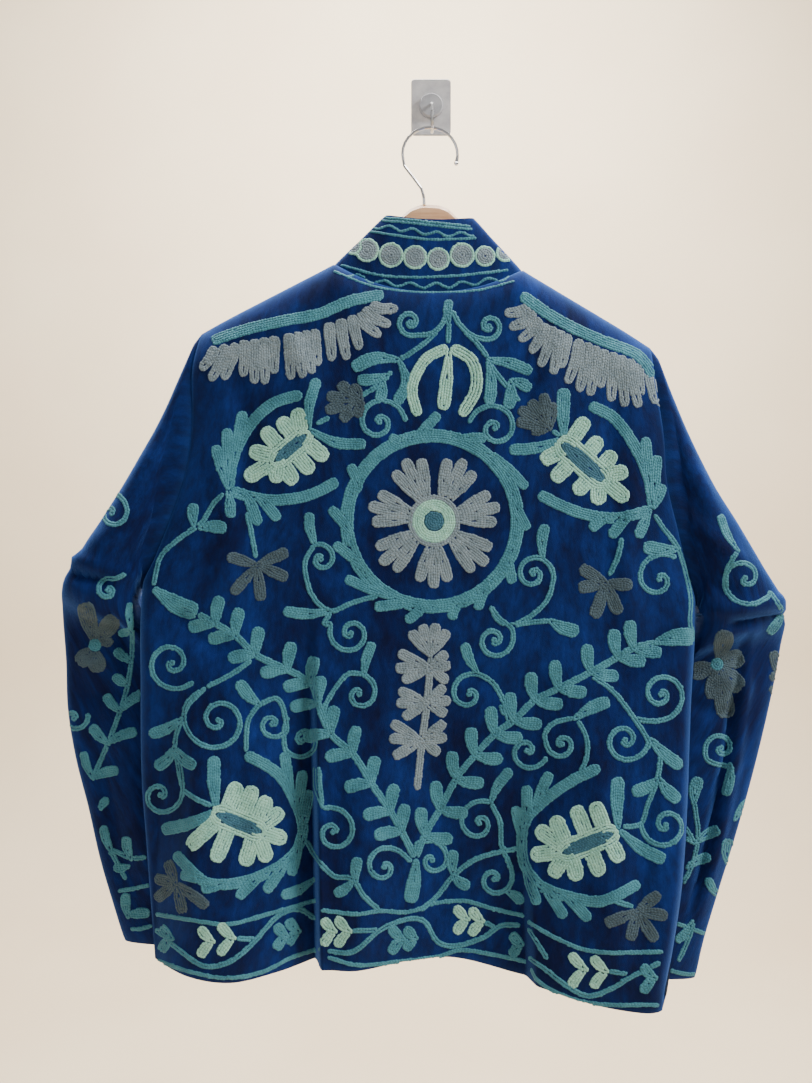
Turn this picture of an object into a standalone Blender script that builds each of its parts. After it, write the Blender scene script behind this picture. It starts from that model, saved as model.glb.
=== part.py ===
"""Embroidered velvet jacket that hangs, back outwards, on a wooden hanger and a wall hook.

All lengths are millimetres until a mesh is made, which is in metres. The wall is the plane
y = 0 and the jacket hangs on its -y side. The garment has its own frame, with x across the
back, z up from the crown of the hanger's hook, and y as in the world. hang() turns it into
the world, leaning by HANG_TILT, as one shoulder hangs lower than the other.
"""
import math
from typing import NamedTuple

import bpy
import bmesh
from mathutils import Vector

MM = 0.001

# How the garment hangs
HANG_TILT = math.radians(1.8)
CROWN_X = 0.6
CROWN_Z = -34.0
CROWN_Y = -27.0

# Cloth
WALL = 2.0
SEAM_GAP = 0.3
SLEEVE_RETREAT = 3.0

# Cut of the body, in the garment's frame
NECK_HALF = 97.0
NECK_POINT_Z = -156.0
NAPE_Z = -184.0
SHOULDER_HALF = 230.0
SHOULDER_Z = -230.0
ARMPIT_Z = -493.0
HEM_Z = -868.0
FRONT_NECK_Z = -238.0
FRONT_EDGE_X = 4.0

# Depths, measured from the wall
HANGER_Y = -48.0
NAPE_Y = -64.0
FRONT_NECK_Y = -24.0
BACK_UPPER_Y = -73.0
ARMHOLE_HALF_DEPTH = 20.0
FRONT_CHEST_Y = -32.0
FRONT_SIDE_Y = -47.0
FRONT_CENTRE_Y = -24.0
SHOULDER_ROLL = 45.0
NECK_ROLL = 30.0
NECK_FULLNESS = 0.34
SIDE_ROLL = 18.0
ARMHOLE_ROLL = 45.0
BACK_FLARE_TOP = -430.0
BACK_FLARE_RUN = 430.0
FRONT_DROP_TOP = -430.0
FRONT_DROP_RUN = 70.0
FRONT_CENTRE_FROM = 140.0
FRONT_CENTRE_RUN = 120.0
UNDERARM_SHARE = 0.75
NECK_ROLL_RUN = 30.0

# Sleeve behind the body's side
BEHIND_BODY_GAP = 3.8
BEHIND_BODY_RUN = 12.0
BESIDE_BODY_GAP = 3.0
BESIDE_BODY_RUN = 16.0
BESIDE_BODY_DEPTH = 70.0
UNLIMITED_DEPTH = -200.0
SLEEVE_FULLNESS = 0.8

# Collar
COLLAR_TOP_HALF = 46.0
COLLAR_TOP_Z = -110.0
COLLAR_CORNER_RISE = 6.0
COLLAR_FRONT_TOP_Z = -176.0
COLLAR_TOP_HALF_DEPTH = 15.0
COLLAR_ROWS = 5

# Grid
ARMHOLE_ROWS = 11
SIDE_ROWS = 14
BACK_COLUMNS = 38
FRONT_NECK_COLUMNS = 6
FOLD_DENSITY = 3.2
FOLD_DENSITY_WIDTH = 14.0
EDGE_DENSITY = 2.2
EDGE_DENSITY_WIDTH = 12.0

# Hanger and its hook
HANGER_HALF = 206.0
HANGER_HALF_DEPTH = 5.5
HANGER_CLEARANCE = 1.75
HANGER_NECK_RUN = 22.0
HANGER_TIP_FROM = 190.0
HANGER_TIP_RUN = 16.0
HANGER_TIP_DROP = 4.0
HANGER_ARM_HEIGHT = 22.0
HANGER_NECK_HEIGHT = 46.0
HANGER_NECK_REACH = 110.0
HANGER_END_RADIUS = 9.0
HANGER_END_HEIGHT = 0.25
HANGER_END_DEPTH = 0.4
HANGER_SIDES = 10
HANGER_STATIONS = 32
HANGER_EVEN_SHARE = 0.45
HOOK_ARC_X = -1.5
HOOK_ARC_RADIUS = 29.0
HOOK_WIRE_RADIUS = 1.5
HOOK_TIP_RADIUS = 2.6
HOOK_TIP_NECK = 2.0
HOOK_TIP_START = 0.5
HOOK_TIP_LEADS = (3.4, 2.4, 0.8)
HOOK_ARC_FROM = -14.0
HOOK_ARC_TO = 196.0
HOOK_ARC_STEPS = 16
HOOK_SETBACK = 5.0
HOOK_SHANK = (
    (-28.0, -32.5, -44.0),
    (-24.5, -34.5, -49.0),
    (-16.0, -39.5, -61.5),
    (-9.6, -44.0, -71.5),
    (-7.6, -46.4, -78.5),
    (-6.6, -47.6, -83.5),
    (-6.2, -48.0, -89.5),
)
WIRE_SIDES = 10

# Wall hook
PLATE_WIDTH = 43.0
PLATE_HEIGHT = 61.0
PLATE_DEPTH = 2.0
PLATE_CORNER = 4.0
PLATE_CHAMFER = 0.5
CORNER_STEPS = 4
BOSS_RADIUS = 13.0
BOSS_DEPTH = 5.0
BOSS_CHAMFER = 1.2
BOSS_SIDES = 24
WALL_WIRE_RADIUS = 1.6
WALL_WIRE_DROP = ((0.0, 0.0), (3.0, -0.5), (6.0, -3.5), (7.5, -9.0))
WALL_WIRE_STEPS = 12
WALL_WIRE_SWEEP = 200.0

# Colours and gloss
VELVET_BLUE = (0.006, 0.028, 0.13)
VELVET_ROUGHNESS = 0.85
HANGER_WOOD = (0.6, 0.36, 0.19)
HOOK_CHROME = (0.75, 0.75, 0.76)
HOOK_STEEL = (0.7, 0.7, 0.72)
PLATE_CLEAR = (0.78, 0.8, 0.84)
BOSS_CLEAR = (0.72, 0.74, 0.79)
SHARP_EDGE = math.radians(40)


class Edge(NamedTuple):
    """Point of the hanger's upper edge."""
    x: float
    z: float


class Side(NamedTuple):
    """Half width of the body at one level, on the left and on the right."""
    z: float
    left: float
    right: float


class Depth(NamedTuple):
    """Depth of the side seam at one level."""
    z: float
    left: float
    right: float


class Hem(NamedTuple):
    """Depth of the back and drop of the hem at one place across the hem."""
    x: float
    depth: float
    drop: float


class Fold(NamedTuple):
    """A vertical step in the back panel that dies out upwards."""
    top: float
    run: float
    x_top: float
    x_hem: float
    left: float
    left_reach: float
    right: float
    right_reach: float
    half_width: float


class Ring(NamedTuple):
    """One section of a sleeve, from its outer edge to its underarm edge."""
    outer_x: float
    outer_z: float
    outer_y: float
    inner_x: float
    inner_z: float
    inner_y: float
    to_room: float
    to_wall: float


HANGER_DOME = (
    Edge(0, -89.5),
    Edge(12, -90.5),
    Edge(26, -99),
    Edge(44, -122),
    Edge(64, -146),
    Edge(84, -161),
    Edge(103, -167),
)

SIDES = (
    Side(-230, 230, 230),
    Side(-270, 236, 234),
    Side(-321, 233, 242),
    Side(-372, 237, 247),
    Side(-416, 250, 259),
    Side(-460, 267, 272),
    Side(-493, 281, 282),
    Side(-600, 280, 279),
    Side(-690, 276, 276),
    Side(-763, 268, 271),
    Side(-820, 261, 262),
    Side(-868, 255, 250),
)

SEAM_DEPTHS = (
    Depth(-230, -48, -48),
    Depth(-493, -50, -52),
    Depth(-700, -54, -60),
    Depth(-800, -58, -74),
    Depth(-868, -62, -98),
)

HEM = (
    Hem(-255, -64, 0),
    Hem(-215, -88, 5),
    Hem(-172, -95, 7),
    Hem(-130, -82, 4),
    Hem(-90, -72, -1),
    Hem(-50, -78, -2),
    Hem(0, -68, -8),
    Hem(50, -62, -10),
    Hem(120, -74, 3),
    Hem(155, -92, 8),
    Hem(189, -100, 14),
    Hem(225, -107, 16),
    Hem(250, -109, 15),
)

FOLDS = (
    Fold(-480, 250, -107, -89, 24, 34, -9, 24, 6),
    Fold(-640, 190, 109, 125, 9, 30, -9, 38, 6),
)

LEFT_RINGS = (
    Ring(236, -241, -49, 285, -494, -49, 22, 20),
    Ring(247, -270, -50, 287, -500, -47, 25, 21),
    Ring(264, -312, -50, 289, -506, -45, 28, 22),
    Ring(288, -364, -50, 291, -512, -42, 30, 22),
    Ring(314, -416, -50, 292, -518, -39, 31, 22),
    Ring(337, -459, -49, 291, -528, -36, 32, 21),
    Ring(352, -485, -47, 287, -538, -33, 32, 20),
    Ring(361, -501, -43, 281, -546, -30, 28, 18),
    Ring(366, -515, -35, 271, -555, -28, 18, 16),
    Ring(368, -535, -29, 257, -568, -26, 14, 15),
    Ring(367, -575, -26, 236, -597, -25, 15, 15),
    Ring(364, -625, -25, 220, -638, -25, 16, 15),
    Ring(354, -676, -25, 207, -683, -25, 16, 15),
    Ring(339, -728, -25, 194, -732, -25, 16, 15),
    Ring(325, -782, -25, 184, -785, -25, 15, 14),
    Ring(308, -834, -25, 172, -836, -25, 14, 13),
    Ring(297, -866, -25, 164, -864, -25, 14, 13),
)

RIGHT_RINGS = (
    Ring(237, -241, -49, 286, -494, -51, 22, 20),
    Ring(251, -276, -50, 288, -500, -49, 25, 21),
    Ring(270, -318, -50, 290, -506, -46, 28, 22),
    Ring(295, -366, -50, 292, -512, -43, 31, 22),
    Ring(323, -408, -50, 293, -518, -40, 33, 22),
    Ring(350, -450, -49, 292, -528, -37, 34, 21),
    Ring(368, -476, -47, 288, -538, -33, 34, 20),
    Ring(379, -494, -43, 282, -546, -30, 30, 18),
    Ring(383, -511, -35, 272, -555, -28, 18, 16),
    Ring(382, -533, -29, 258, -568, -26, 14, 15),
    Ring(377, -575, -26, 238, -597, -25, 16, 15),
    Ring(368, -625, -25, 222, -638, -25, 17, 15),
    Ring(356, -680, -25, 209, -686, -25, 17, 15),
    Ring(341, -740, -25, 198, -744, -25, 17, 15),
    Ring(325, -798, -25, 186, -800, -25, 16, 14),
    Ring(312, -848, -25, 176, -848, -25, 15, 13),
    Ring(305, -886, -25, 172, -882, -25, 14, 13),
)


def smooth_rise(value):
    """Rise from 0 to 1 with level ends."""
    value = min(max(value, 0.0), 1.0)
    return value * value * (3.0 - 2.0 * value)


def roll(distance, radius):
    """Quarter round: 0 at an edge, 1 from radius inwards."""
    part = min(max(distance / radius, 0.0), 1.0)
    return math.sqrt(1.0 - (1.0 - part) ** 2)


def mix(first, second, share):
    """Value between first and second."""
    return first + (second - first) * share


def curve_value(keys, values, at):
    """Read a smooth curve through a table, whose keys rise."""
    if at <= keys[0]:
        return values[0]
    if at >= keys[-1]:
        return values[-1]
    last = len(keys) - 1
    slot = next(i for i in range(last) if at <= keys[i + 1])
    slopes = []
    for i in (slot, slot + 1):
        low = max(i - 1, 0)
        high = min(i + 1, last)
        slopes.append((values[high] - values[low]) / (keys[high] - keys[low]))
    span = keys[slot + 1] - keys[slot]
    t = (at - keys[slot]) / span
    return ((2 * t**3 - 3 * t**2 + 1) * values[slot] + (t**3 - 2 * t**2 + t) * span * slopes[0]
            + (3 * t**2 - 2 * t**3) * values[slot + 1] + (t**3 - t**2) * span * slopes[1])


def at_level(table, z, side):
    """Read a table of levels, on the left (-1) or the right (1)."""
    keys = [-row.z for row in table]
    values = [row.left if side < 0 else row.right for row in table]
    return curve_value(keys, values, -z)


def across_hem(x, column):
    """Read one column of the hem's table."""
    return curve_value([row.x for row in HEM], [getattr(row, column) for row in HEM], x)


def side_x(z, side):
    """Place of the body's edge at one level."""
    return side * at_level(SIDES, z, side)


def hem_z(x):
    """Height of the hem."""
    return HEM_Z - across_hem(x, "drop")


def armhole_share(z):
    """Where a level lies down the armhole, 0 at the shoulder and 1 at the underarm."""
    return min(max((SHOULDER_Z - z) / (SHOULDER_Z - ARMPIT_Z), 0.0), 1.0)


def side_edge_depth(z, side, towards):
    """Depth of a panel's side edge; towards is -1 for the back and 1 for a front."""
    share = armhole_share(z)
    opening = ARMHOLE_HALF_DEPTH * math.sqrt(4.0 * share * (1.0 - share))
    return at_level(SEAM_DEPTHS, z, side) + towards * opening


def top_edge_z(x, front):
    """Height of the shoulder seam and of the neckline."""
    if abs(x) >= NECK_HALF:
        share = (abs(x) - NECK_HALF) / (SHOULDER_HALF - NECK_HALF)
        return mix(NECK_POINT_Z, SHOULDER_Z, share)
    if front:
        share = (abs(x) - FRONT_EDGE_X) / (NECK_HALF - FRONT_EDGE_X)
        return mix(FRONT_NECK_Z, NECK_POINT_Z, share * abs(share))
    return mix(NAPE_Z, NECK_POINT_Z, (abs(x) / NECK_HALF) ** 2.2)


def top_edge_depth(x, front):
    """Depth of the shoulder seam and of the neckline."""
    if abs(x) >= NECK_HALF:
        return HANGER_Y
    if front:
        share = (abs(x) - FRONT_EDGE_X) / (NECK_HALF - FRONT_EDGE_X)
        return mix(HANGER_Y, FRONT_NECK_Y, max(0.0, 1.0 - share**2) ** NECK_FULLNESS)
    return mix(HANGER_Y, NAPE_Y, max(0.0, 1.0 - (x / NECK_HALF) ** 2) ** NECK_FULLNESS)


def fold_depth(fold, x, z):
    """Depth that a fold adds: it steps from its left value to its right value."""
    strength = smooth_rise((fold.top - z) / fold.run)
    line = mix(fold.x_top, fold.x_hem, min(max((fold.top - z) / (fold.top - HEM_Z), 0.0), 1.0))
    beside = x - line
    left = fold.left * math.exp(min(beside, 0.0) / fold.left_reach)
    right = fold.right * math.exp(-max(beside, 0.0) / fold.right_reach)
    step = smooth_rise((beside + fold.half_width) / (2.0 * fold.half_width))
    return strength * mix(left, right, step)


def back_body_depth(x, z):
    """Depth of the back away from its edges."""
    low = smooth_rise((BACK_FLARE_TOP - z) / BACK_FLARE_RUN)
    depth = mix(BACK_UPPER_Y, across_hem(x, "depth"), low)
    return depth + sum(fold_depth(fold, x, z) for fold in FOLDS)


def front_body_depth(x, z):
    """Depth of a front away from its edges: close to the wall at the centre."""
    below = smooth_rise((FRONT_DROP_TOP - z) / FRONT_DROP_RUN)
    side = mix(FRONT_CHEST_Y, FRONT_SIDE_Y, below)
    centre = smooth_rise((FRONT_CENTRE_FROM - abs(x)) / FRONT_CENTRE_RUN)
    return mix(side, FRONT_CENTRE_Y, centre)


def panel_depth(x, z, front):
    """Depth of the back or a front, rolled in to its edges."""
    side = -1 if x < 0 else 1
    towards = 1 if front else -1
    below_top = top_edge_z(x, front) - z
    from_side = abs(side_x(z, side)) - abs(x)
    underarm = smooth_rise((armhole_share(z) - UNDERARM_SHARE) / (1.0 - UNDERARM_SHARE))
    side_roll = mix(ARMHOLE_ROLL, SIDE_ROLL, underarm)
    neck = smooth_rise((NECK_HALF - abs(x)) / NECK_ROLL_RUN + 0.5)
    top_roll = mix(SHOULDER_ROLL, NECK_ROLL, neck)
    near_side = max(below_top, 0.0) / (max(below_top, 0.0) + max(from_side, 0.0) + 1e-9)
    edge = mix(top_edge_depth(x, front), side_edge_depth(z, side, towards), near_side)
    body = front_body_depth(x, z) if front else back_body_depth(x, z)
    return mix(edge, body, roll(from_side, side_roll) * roll(below_top, top_roll))


def side_levels():
    """Levels of the rows down a side: close together at both ends of the armhole."""
    levels = []
    for row in range(ARMHOLE_ROWS):
        share = 0.5 - 0.5 * math.cos(math.pi * row / ARMHOLE_ROWS)
        levels.append(mix(SHOULDER_Z, ARMPIT_Z, share))
    for row in range(SIDE_ROWS + 1):
        levels.append(mix(ARMPIT_Z, HEM_Z, row / SIDE_ROWS))
    return levels


def hem_columns():
    """Places of the back's columns across the hem, closest at the folds and the sides."""
    left, right = side_x(HEM_Z, -1), side_x(HEM_Z, 1)
    samples = 2000
    total = [0.0]
    for step in range(samples):
        x = mix(left, right, (step + 0.5) / samples)
        weight = 1.0
        for fold in FOLDS:
            weight += FOLD_DENSITY * math.exp(-((x - fold.x_hem) / FOLD_DENSITY_WIDTH) ** 2)
        for edge in (left, right):
            weight += EDGE_DENSITY * math.exp(-abs(x - edge) / EDGE_DENSITY_WIDTH)
        total.append(total[-1] + weight)
    places = []
    for column in range(BACK_COLUMNS + 1):
        wanted = total[-1] * column / BACK_COLUMNS
        step = min(range(samples + 1), key=lambda i: abs(total[i] - wanted))
        places.append(mix(left, right, step / samples))
    return places


def neck_columns(places):
    """Columns of the back that end at the two neck points."""
    reach = NECK_HALF * abs(places[0]) / SHOULDER_HALF
    left = min(range(len(places)), key=lambda i: abs(places[i] + reach))
    right = min(range(len(places)), key=lambda i: abs(places[i] - reach))
    return left, right


def patch_point(top, bottom, left, right, corners, u, v):
    """Point of a patch stretched between four edges, as (x, z)."""
    point = []
    for axis in (0, 1):
        down = mix(top[axis], bottom[axis], v)
        over = mix(left[axis], right[axis], u)
        top_corner = mix(corners[0][axis], corners[1][axis], u)
        low_corner = mix(corners[2][axis], corners[3][axis], u)
        point.append(down + over - mix(top_corner, low_corner, v))
    return point


def stretch_grid(top, bottom, left, right):
    """Rows of (x, z) between four edges that share their corners."""
    corners = (top[0], top[-1], bottom[0], bottom[-1])
    rows = []
    for row in range(len(left)):
        v = (left[row][1] - left[0][1]) / (left[-1][1] - left[0][1])
        points = []
        for column in range(len(top)):
            u = (bottom[column][0] - bottom[0][0]) / (bottom[-1][0] - bottom[0][0])
            points.append(patch_point(top[column], bottom[column], left[row], right[row],
                                      corners, u, v))
        rows.append(points)
    return rows


def side_edge(side):
    """Edge of the body from the shoulder to the hem, as (x, z)."""
    levels = side_levels()
    edge_drop = hem_z(side_x(HEM_Z, side)) - HEM_Z
    below = [min(max((ARMPIT_Z - z) / (ARMPIT_Z - HEM_Z), 0.0), 1.0) for z in levels]
    return [(side_x(z, side), z + share * edge_drop) for z, share in zip(levels, below)]


def seat_grid(flat_rows, front):
    """Give each (x, z) its depth, in the garment's frame."""
    return [[Vector((x, panel_depth(x, z, front), z)) for x, z in row] for row in flat_rows]


def back_grid(places):
    """Middle surface of the back."""
    neck_left, neck_right = neck_columns(places)
    last = len(places) - 1
    top = []
    for column, place in enumerate(places):
        if column <= neck_left:
            share = (place - places[0]) / (places[neck_left] - places[0])
            x = mix(-SHOULDER_HALF, -NECK_HALF, share)
        elif column >= neck_right:
            share = (place - places[neck_right]) / (places[last] - places[neck_right])
            x = mix(NECK_HALF, SHOULDER_HALF, share)
        else:
            share = (place - places[neck_left]) / (places[neck_right] - places[neck_left])
            x = mix(-NECK_HALF, NECK_HALF, share)
        top.append((x, top_edge_z(x, False)))
    bottom = [(x, hem_z(x)) for x in places]
    return seat_grid(stretch_grid(top, bottom, side_edge(-1), side_edge(1)), False)


def front_neckline(side):
    """Neckline of a front, from the neck point to the centre, as (x, z)."""
    points = []
    for column in range(1, FRONT_NECK_COLUMNS + 1):
        x = mix(NECK_HALF, FRONT_EDGE_X, column / FRONT_NECK_COLUMNS)
        points.append((side * x, top_edge_z(x, True)))
    return points


def front_grid(back, places, side):
    """Middle surface of a front, whose columns run from the side seam to the centre."""
    neck_left, neck_right = neck_columns(places)
    shoulder = back[0][:neck_left + 1] if side < 0 else back[0][neck_right:][::-1]
    top = [(point.x, point.z) for point in shoulder] + front_neckline(side)
    outer = side_edge(side)
    bottom = []
    for column in range(len(top)):
        x = mix(outer[-1][0], side * FRONT_EDGE_X, column / (len(top) - 1))
        bottom.append((x, mix(outer[-1][1], HEM_Z, smooth_rise(3.0 * column / len(top)))))
    centre = [(side * FRONT_EDGE_X, mix(top[-1][1], HEM_Z,
                                        (z - outer[0][1]) / (outer[-1][1] - outer[0][1])))
              for _, z in outer]
    rows = seat_grid(stretch_grid(top, bottom, outer, centre), True)
    rows[0][:len(shoulder)] = shoulder
    for row in range(ARMHOLE_ROWS, len(rows)):
        rows[row][0] = back[row][0 if side < 0 else -1]
    return rows


def room_behind_body(x, z, side):
    """Nearest to the room that a sleeve may come, where it hangs behind the body."""
    outside = abs(x) - abs(side_x(z, side))
    below = smooth_rise((ARMPIT_Z + 2.0 - z) / BEHIND_BODY_RUN)
    beside = smooth_rise((outside - BESIDE_BODY_GAP) / BESIDE_BODY_RUN)
    limit = FRONT_SIDE_Y + BEHIND_BODY_GAP - BESIDE_BODY_DEPTH * beside
    return mix(UNLIMITED_DEPTH, limit, below)


def sleeve_grid(back, front, rings, side):
    """Middle surface of a sleeve: rows are closed rings, the first one is the armhole."""
    back_edge = [row[0 if side < 0 else -1] for row in back[:ARMHOLE_ROWS + 1]]
    front_edge = [row[0] for row in front[:ARMHOLE_ROWS + 1]]
    rows = [back_edge + front_edge[-2:0:-1]]
    count = 2 * ARMHOLE_ROWS
    for ring in rings:
        row = []
        for step in range(count):
            angle = 2.0 * math.pi * step / count
            share = 0.5 - 0.5 * math.cos(angle)
            x = side * mix(ring.outer_x, ring.inner_x, share)
            z = mix(ring.outer_z, ring.inner_z, share)
            bulge = -ring.to_room if step <= ARMHOLE_ROWS else ring.to_wall
            y = mix(ring.outer_y, ring.inner_y, share)
            y += bulge * abs(math.sin(angle)) ** SLEEVE_FULLNESS
            row.append(Vector((x, max(y, room_behind_body(x, z, side)), z)))
        rows.append(row)
    return rows


def collar_top_point(x, front):
    """Point of the collar's top edge above a point of its seam."""
    part = min(abs(x) / NECK_HALF, 1.0)
    top_x = COLLAR_TOP_HALF * x / NECK_HALF
    round_part = max(0.0, 1.0 - part**2) ** NECK_FULLNESS
    if front:
        corner = COLLAR_TOP_Z + COLLAR_CORNER_RISE
        z = mix(corner, COLLAR_FRONT_TOP_Z, math.sqrt(max(0.0, 1.0 - part**2)))
        return Vector((top_x, HANGER_Y + COLLAR_TOP_HALF_DEPTH * round_part, z))
    z = COLLAR_TOP_Z + COLLAR_CORNER_RISE * part**2
    return Vector((top_x, HANGER_Y - COLLAR_TOP_HALF_DEPTH * round_part, z))


def collar_grid(back, fronts, places):
    """Middle surface of the collar: columns run from front end to front end."""
    neck_left, neck_right = neck_columns(places)
    left_front = fronts[0][0][neck_left + 1:][::-1]
    right_front = fronts[1][0][len(places) - neck_right:]
    seam = left_front + back[0][neck_left:neck_right + 1] + right_front
    rows = []
    for row in range(COLLAR_ROWS + 1):
        share = row / COLLAR_ROWS
        points = []
        for column, point in enumerate(seam):
            front = column < len(left_front) or column >= len(seam) - len(right_front)
            points.append(point.lerp(collar_top_point(point.x, front), share))
        rows.append(points)
    return rows


def hang(point):
    """Turn a point of the garment's frame into the world."""
    x = CROWN_X + math.cos(HANG_TILT) * point.x + math.sin(HANG_TILT) * point.z
    z = CROWN_Z - math.sin(HANG_TILT) * point.x + math.cos(HANG_TILT) * point.z
    return Vector((x, point.y, z))


def spot(point):
    """Key that is the same for points of two panels that meet."""
    return tuple(round(value, 3) for value in point)


def grid_faces(row_count, column_count, closed):
    """Corners (row, column) of a grid's faces, in order round each face."""
    last = column_count if closed else column_count - 1
    for row in range(row_count - 1):
        for column in range(last):
            after = (column + 1) % column_count
            yield ((row, column), (row + 1, column), (row + 1, after), (row, after))


def shared_normals(panels):
    """Normals at the points of some panels together, so that their seams match."""
    normals = {}
    for rows, closed, flip in panels:
        for face in grid_faces(len(rows), len(rows[0]), closed):
            corners = [rows[row][column] for row, column in face]
            normal = (corners[2] - corners[0]).cross(corners[3] - corners[1]) * flip
            for corner in corners:
                key = spot(corner)
                normals[key] = normals.get(key, Vector((0, 0, 0))) + normal
    return {key: normal.normalized() for key, normal in normals.items()}


def square_step(rows, row, column, down, over):
    """Unit step from a grid's point to its neighbour, square to the edge it stands on."""
    here = rows[row][column]
    row_count, column_count = len(rows), len(rows[0])
    step = rows[row + down][(column + over) % column_count] - here
    if down:
        edge = rows[row][(column + 1) % column_count] - here
        if column + 1 == column_count or edge.length == 0.0:
            edge = here - rows[row][column - 1]
    else:
        edge = rows[min(row + 1, row_count - 1)][column] - rows[max(row - 1, 0)][column]
    edge.normalize()
    return (step - edge * step.dot(edge)).normalized()


def pulled_in(rows, closed, turns):
    """Grid whose edges stand back by half the seam's gap, and more where a sleeve turns."""
    half = 0.5 * SEAM_GAP
    moved = [[point.copy() for point in row] for row in rows]
    last_row = len(rows) - 1
    last_column = len(rows[0]) - 1
    for column in range(last_column + 1):
        turn = min(WALL * math.tan(0.5 * turns[column]), SLEEVE_RETREAT) if turns else 0.0
        moved[0][column] += square_step(rows, 0, column, 1, 0) * (half + turn)
        moved[last_row][column] += square_step(rows, last_row, column, -1, 0) * half
    if not closed:
        for row in range(last_row + 1):
            moved[row][0] += square_step(rows, row, 0, 0, 1) * half
            moved[row][last_column] += square_step(rows, row, last_column, 0, -1) * half
    return moved


def wall_mesh(rows, closed, flip, normals, turns=None):
    """Closed wall round a middle surface, as vertices and faces."""
    row_count, column_count = len(rows), len(rows[0])
    moved = pulled_in(rows, closed, turns)
    vertices = []
    for lift in (0.5 * WALL, -0.5 * WALL):
        for row in range(row_count):
            for column in range(column_count):
                normal = normals[spot(rows[row][column])]
                vertices.append(moved[row][column] + normal * lift)

    def index(layer, row, column):
        return (layer * row_count + row) * column_count + column % column_count

    faces = []
    for face in grid_faces(row_count, column_count, closed):
        outer = [index(0, row, column) for row, column in face]
        inner = [index(1, row, column) for row, column in face]
        faces.append(outer if flip > 0 else outer[::-1])
        faces.append(inner[::-1] if flip > 0 else inner)
    span = column_count if closed else column_count - 1
    rims = [((0, column), (0, column + 1)) for column in range(span)]
    rims += [((row_count - 1, column + 1), (row_count - 1, column)) for column in range(span)]
    if not closed:
        rims += [((row + 1, 0), (row, 0)) for row in range(row_count - 1)]
        rims += [((row, column_count - 1), (row + 1, column_count - 1))
                 for row in range(row_count - 1)]
    for first, second in rims:
        rim = [index(0, *first), index(0, *second), index(1, *second), index(1, *first)]
        start, end = (rows[row][column % column_count] for row, column in (first, second))
        cut = 0 if spot(start) < spot(end) else 1
        for half in ([rim[cut], rim[cut + 1], rim[cut + 2]],
                     [rim[cut], rim[cut + 2], rim[(cut + 3) % 4]]):
            faces.append(half if flip > 0 else half[::-1])
    return vertices, faces


def tube_mesh(path, radii, sides):
    """Closed round tube along a path that stays near one plane."""
    vertices = []
    across = Vector((0, 1, 0))
    for step, point in enumerate(path):
        before = path[max(step - 1, 0)]
        after = path[min(step + 1, len(path) - 1)]
        along = (after - before).normalized()
        across = (across - along * across.dot(along)).normalized()
        other = along.cross(across)
        for side in range(sides):
            angle = 2.0 * math.pi * side / sides
            offset = across * math.cos(angle) + other * math.sin(angle)
            vertices.append(point + offset * radii[step])
    return vertices, ring_faces(len(path), sides)


def ring_faces(ring_count, sides):
    """Faces of a stack of rings with both ends filled."""
    faces = []
    for ring in range(ring_count - 1):
        for side in range(sides):
            after = (side + 1) % sides
            first, second = ring * sides, (ring + 1) * sides
            faces.append([first + side, first + after, second + after, second + side])
    faces.append(list(range(sides))[::-1])
    faces.append([(ring_count - 1) * sides + side for side in range(sides)])
    return faces


def make_material(name, colour, roughness, metallic=0.0, alpha=1.0):
    """Plain Principled material."""
    material = bpy.data.materials.new(name)
    material.use_nodes = True
    shader = material.node_tree.nodes["Principled BSDF"]
    shader.inputs["Base Color"].default_value = (*colour, 1.0)
    shader.inputs["Roughness"].default_value = roughness
    shader.inputs["Metallic"].default_value = metallic
    shader.inputs["Alpha"].default_value = alpha
    return material


def make_node(name, vertices, faces, material):
    """Object from world points in millimetres."""
    mesh = bpy.data.meshes.new(name)
    mesh.from_pydata([vertex * MM for vertex in vertices], [], faces)
    shape = bmesh.new()
    shape.from_mesh(mesh)
    bmesh.ops.recalc_face_normals(shape, faces=shape.faces)
    shape.to_mesh(mesh)
    shape.free()
    mesh.materials.append(material)
    mesh.shade_smooth()
    mesh.set_sharp_from_angle(angle=SHARP_EDGE)
    node = bpy.data.objects.new(name, mesh)
    bpy.context.scene.collection.objects.link(node)
    return node


def cloth_panels():
    """Middle surfaces of all sewn pieces: name to (rows, closed, side that faces out)."""
    places = hem_columns()
    back = back_grid(places)
    left_front = front_grid(back, places, -1)
    right_front = front_grid(back, places, 1)
    return {
        "back_panel": (back, False, 1),
        "left_front_panel": (left_front, False, -1),
        "right_front_panel": (right_front, False, 1),
        "left_sleeve": (sleeve_grid(back, left_front, LEFT_RINGS, -1), True, 1),
        "right_sleeve": (sleeve_grid(back, right_front, RIGHT_RINGS, 1), True, -1),
        "collar": (collar_grid(back, (left_front, right_front), places), False, -1),
    }


def build_cloth():
    """The six sewn pieces. A sleeve turns sharply at its armhole, so it has its own normals."""
    panels = cloth_panels()
    body_normals = shared_normals([panel for panel in panels.values() if not panel[1]])
    for name, (rows, closed, flip) in panels.items():
        normals, turns = body_normals, None
        if closed:
            normals = shared_normals([(rows, closed, flip)])
            turns = [normals[spot(point)].angle(body_normals[spot(point)]) for point in rows[0]]
        vertices, faces = wall_mesh(rows, closed, flip, normals, turns)
        material = make_material(name + "_velvet", VELVET_BLUE, VELVET_ROUGHNESS)
        make_node(name, [hang(vertex) for vertex in vertices], faces, material)


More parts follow.
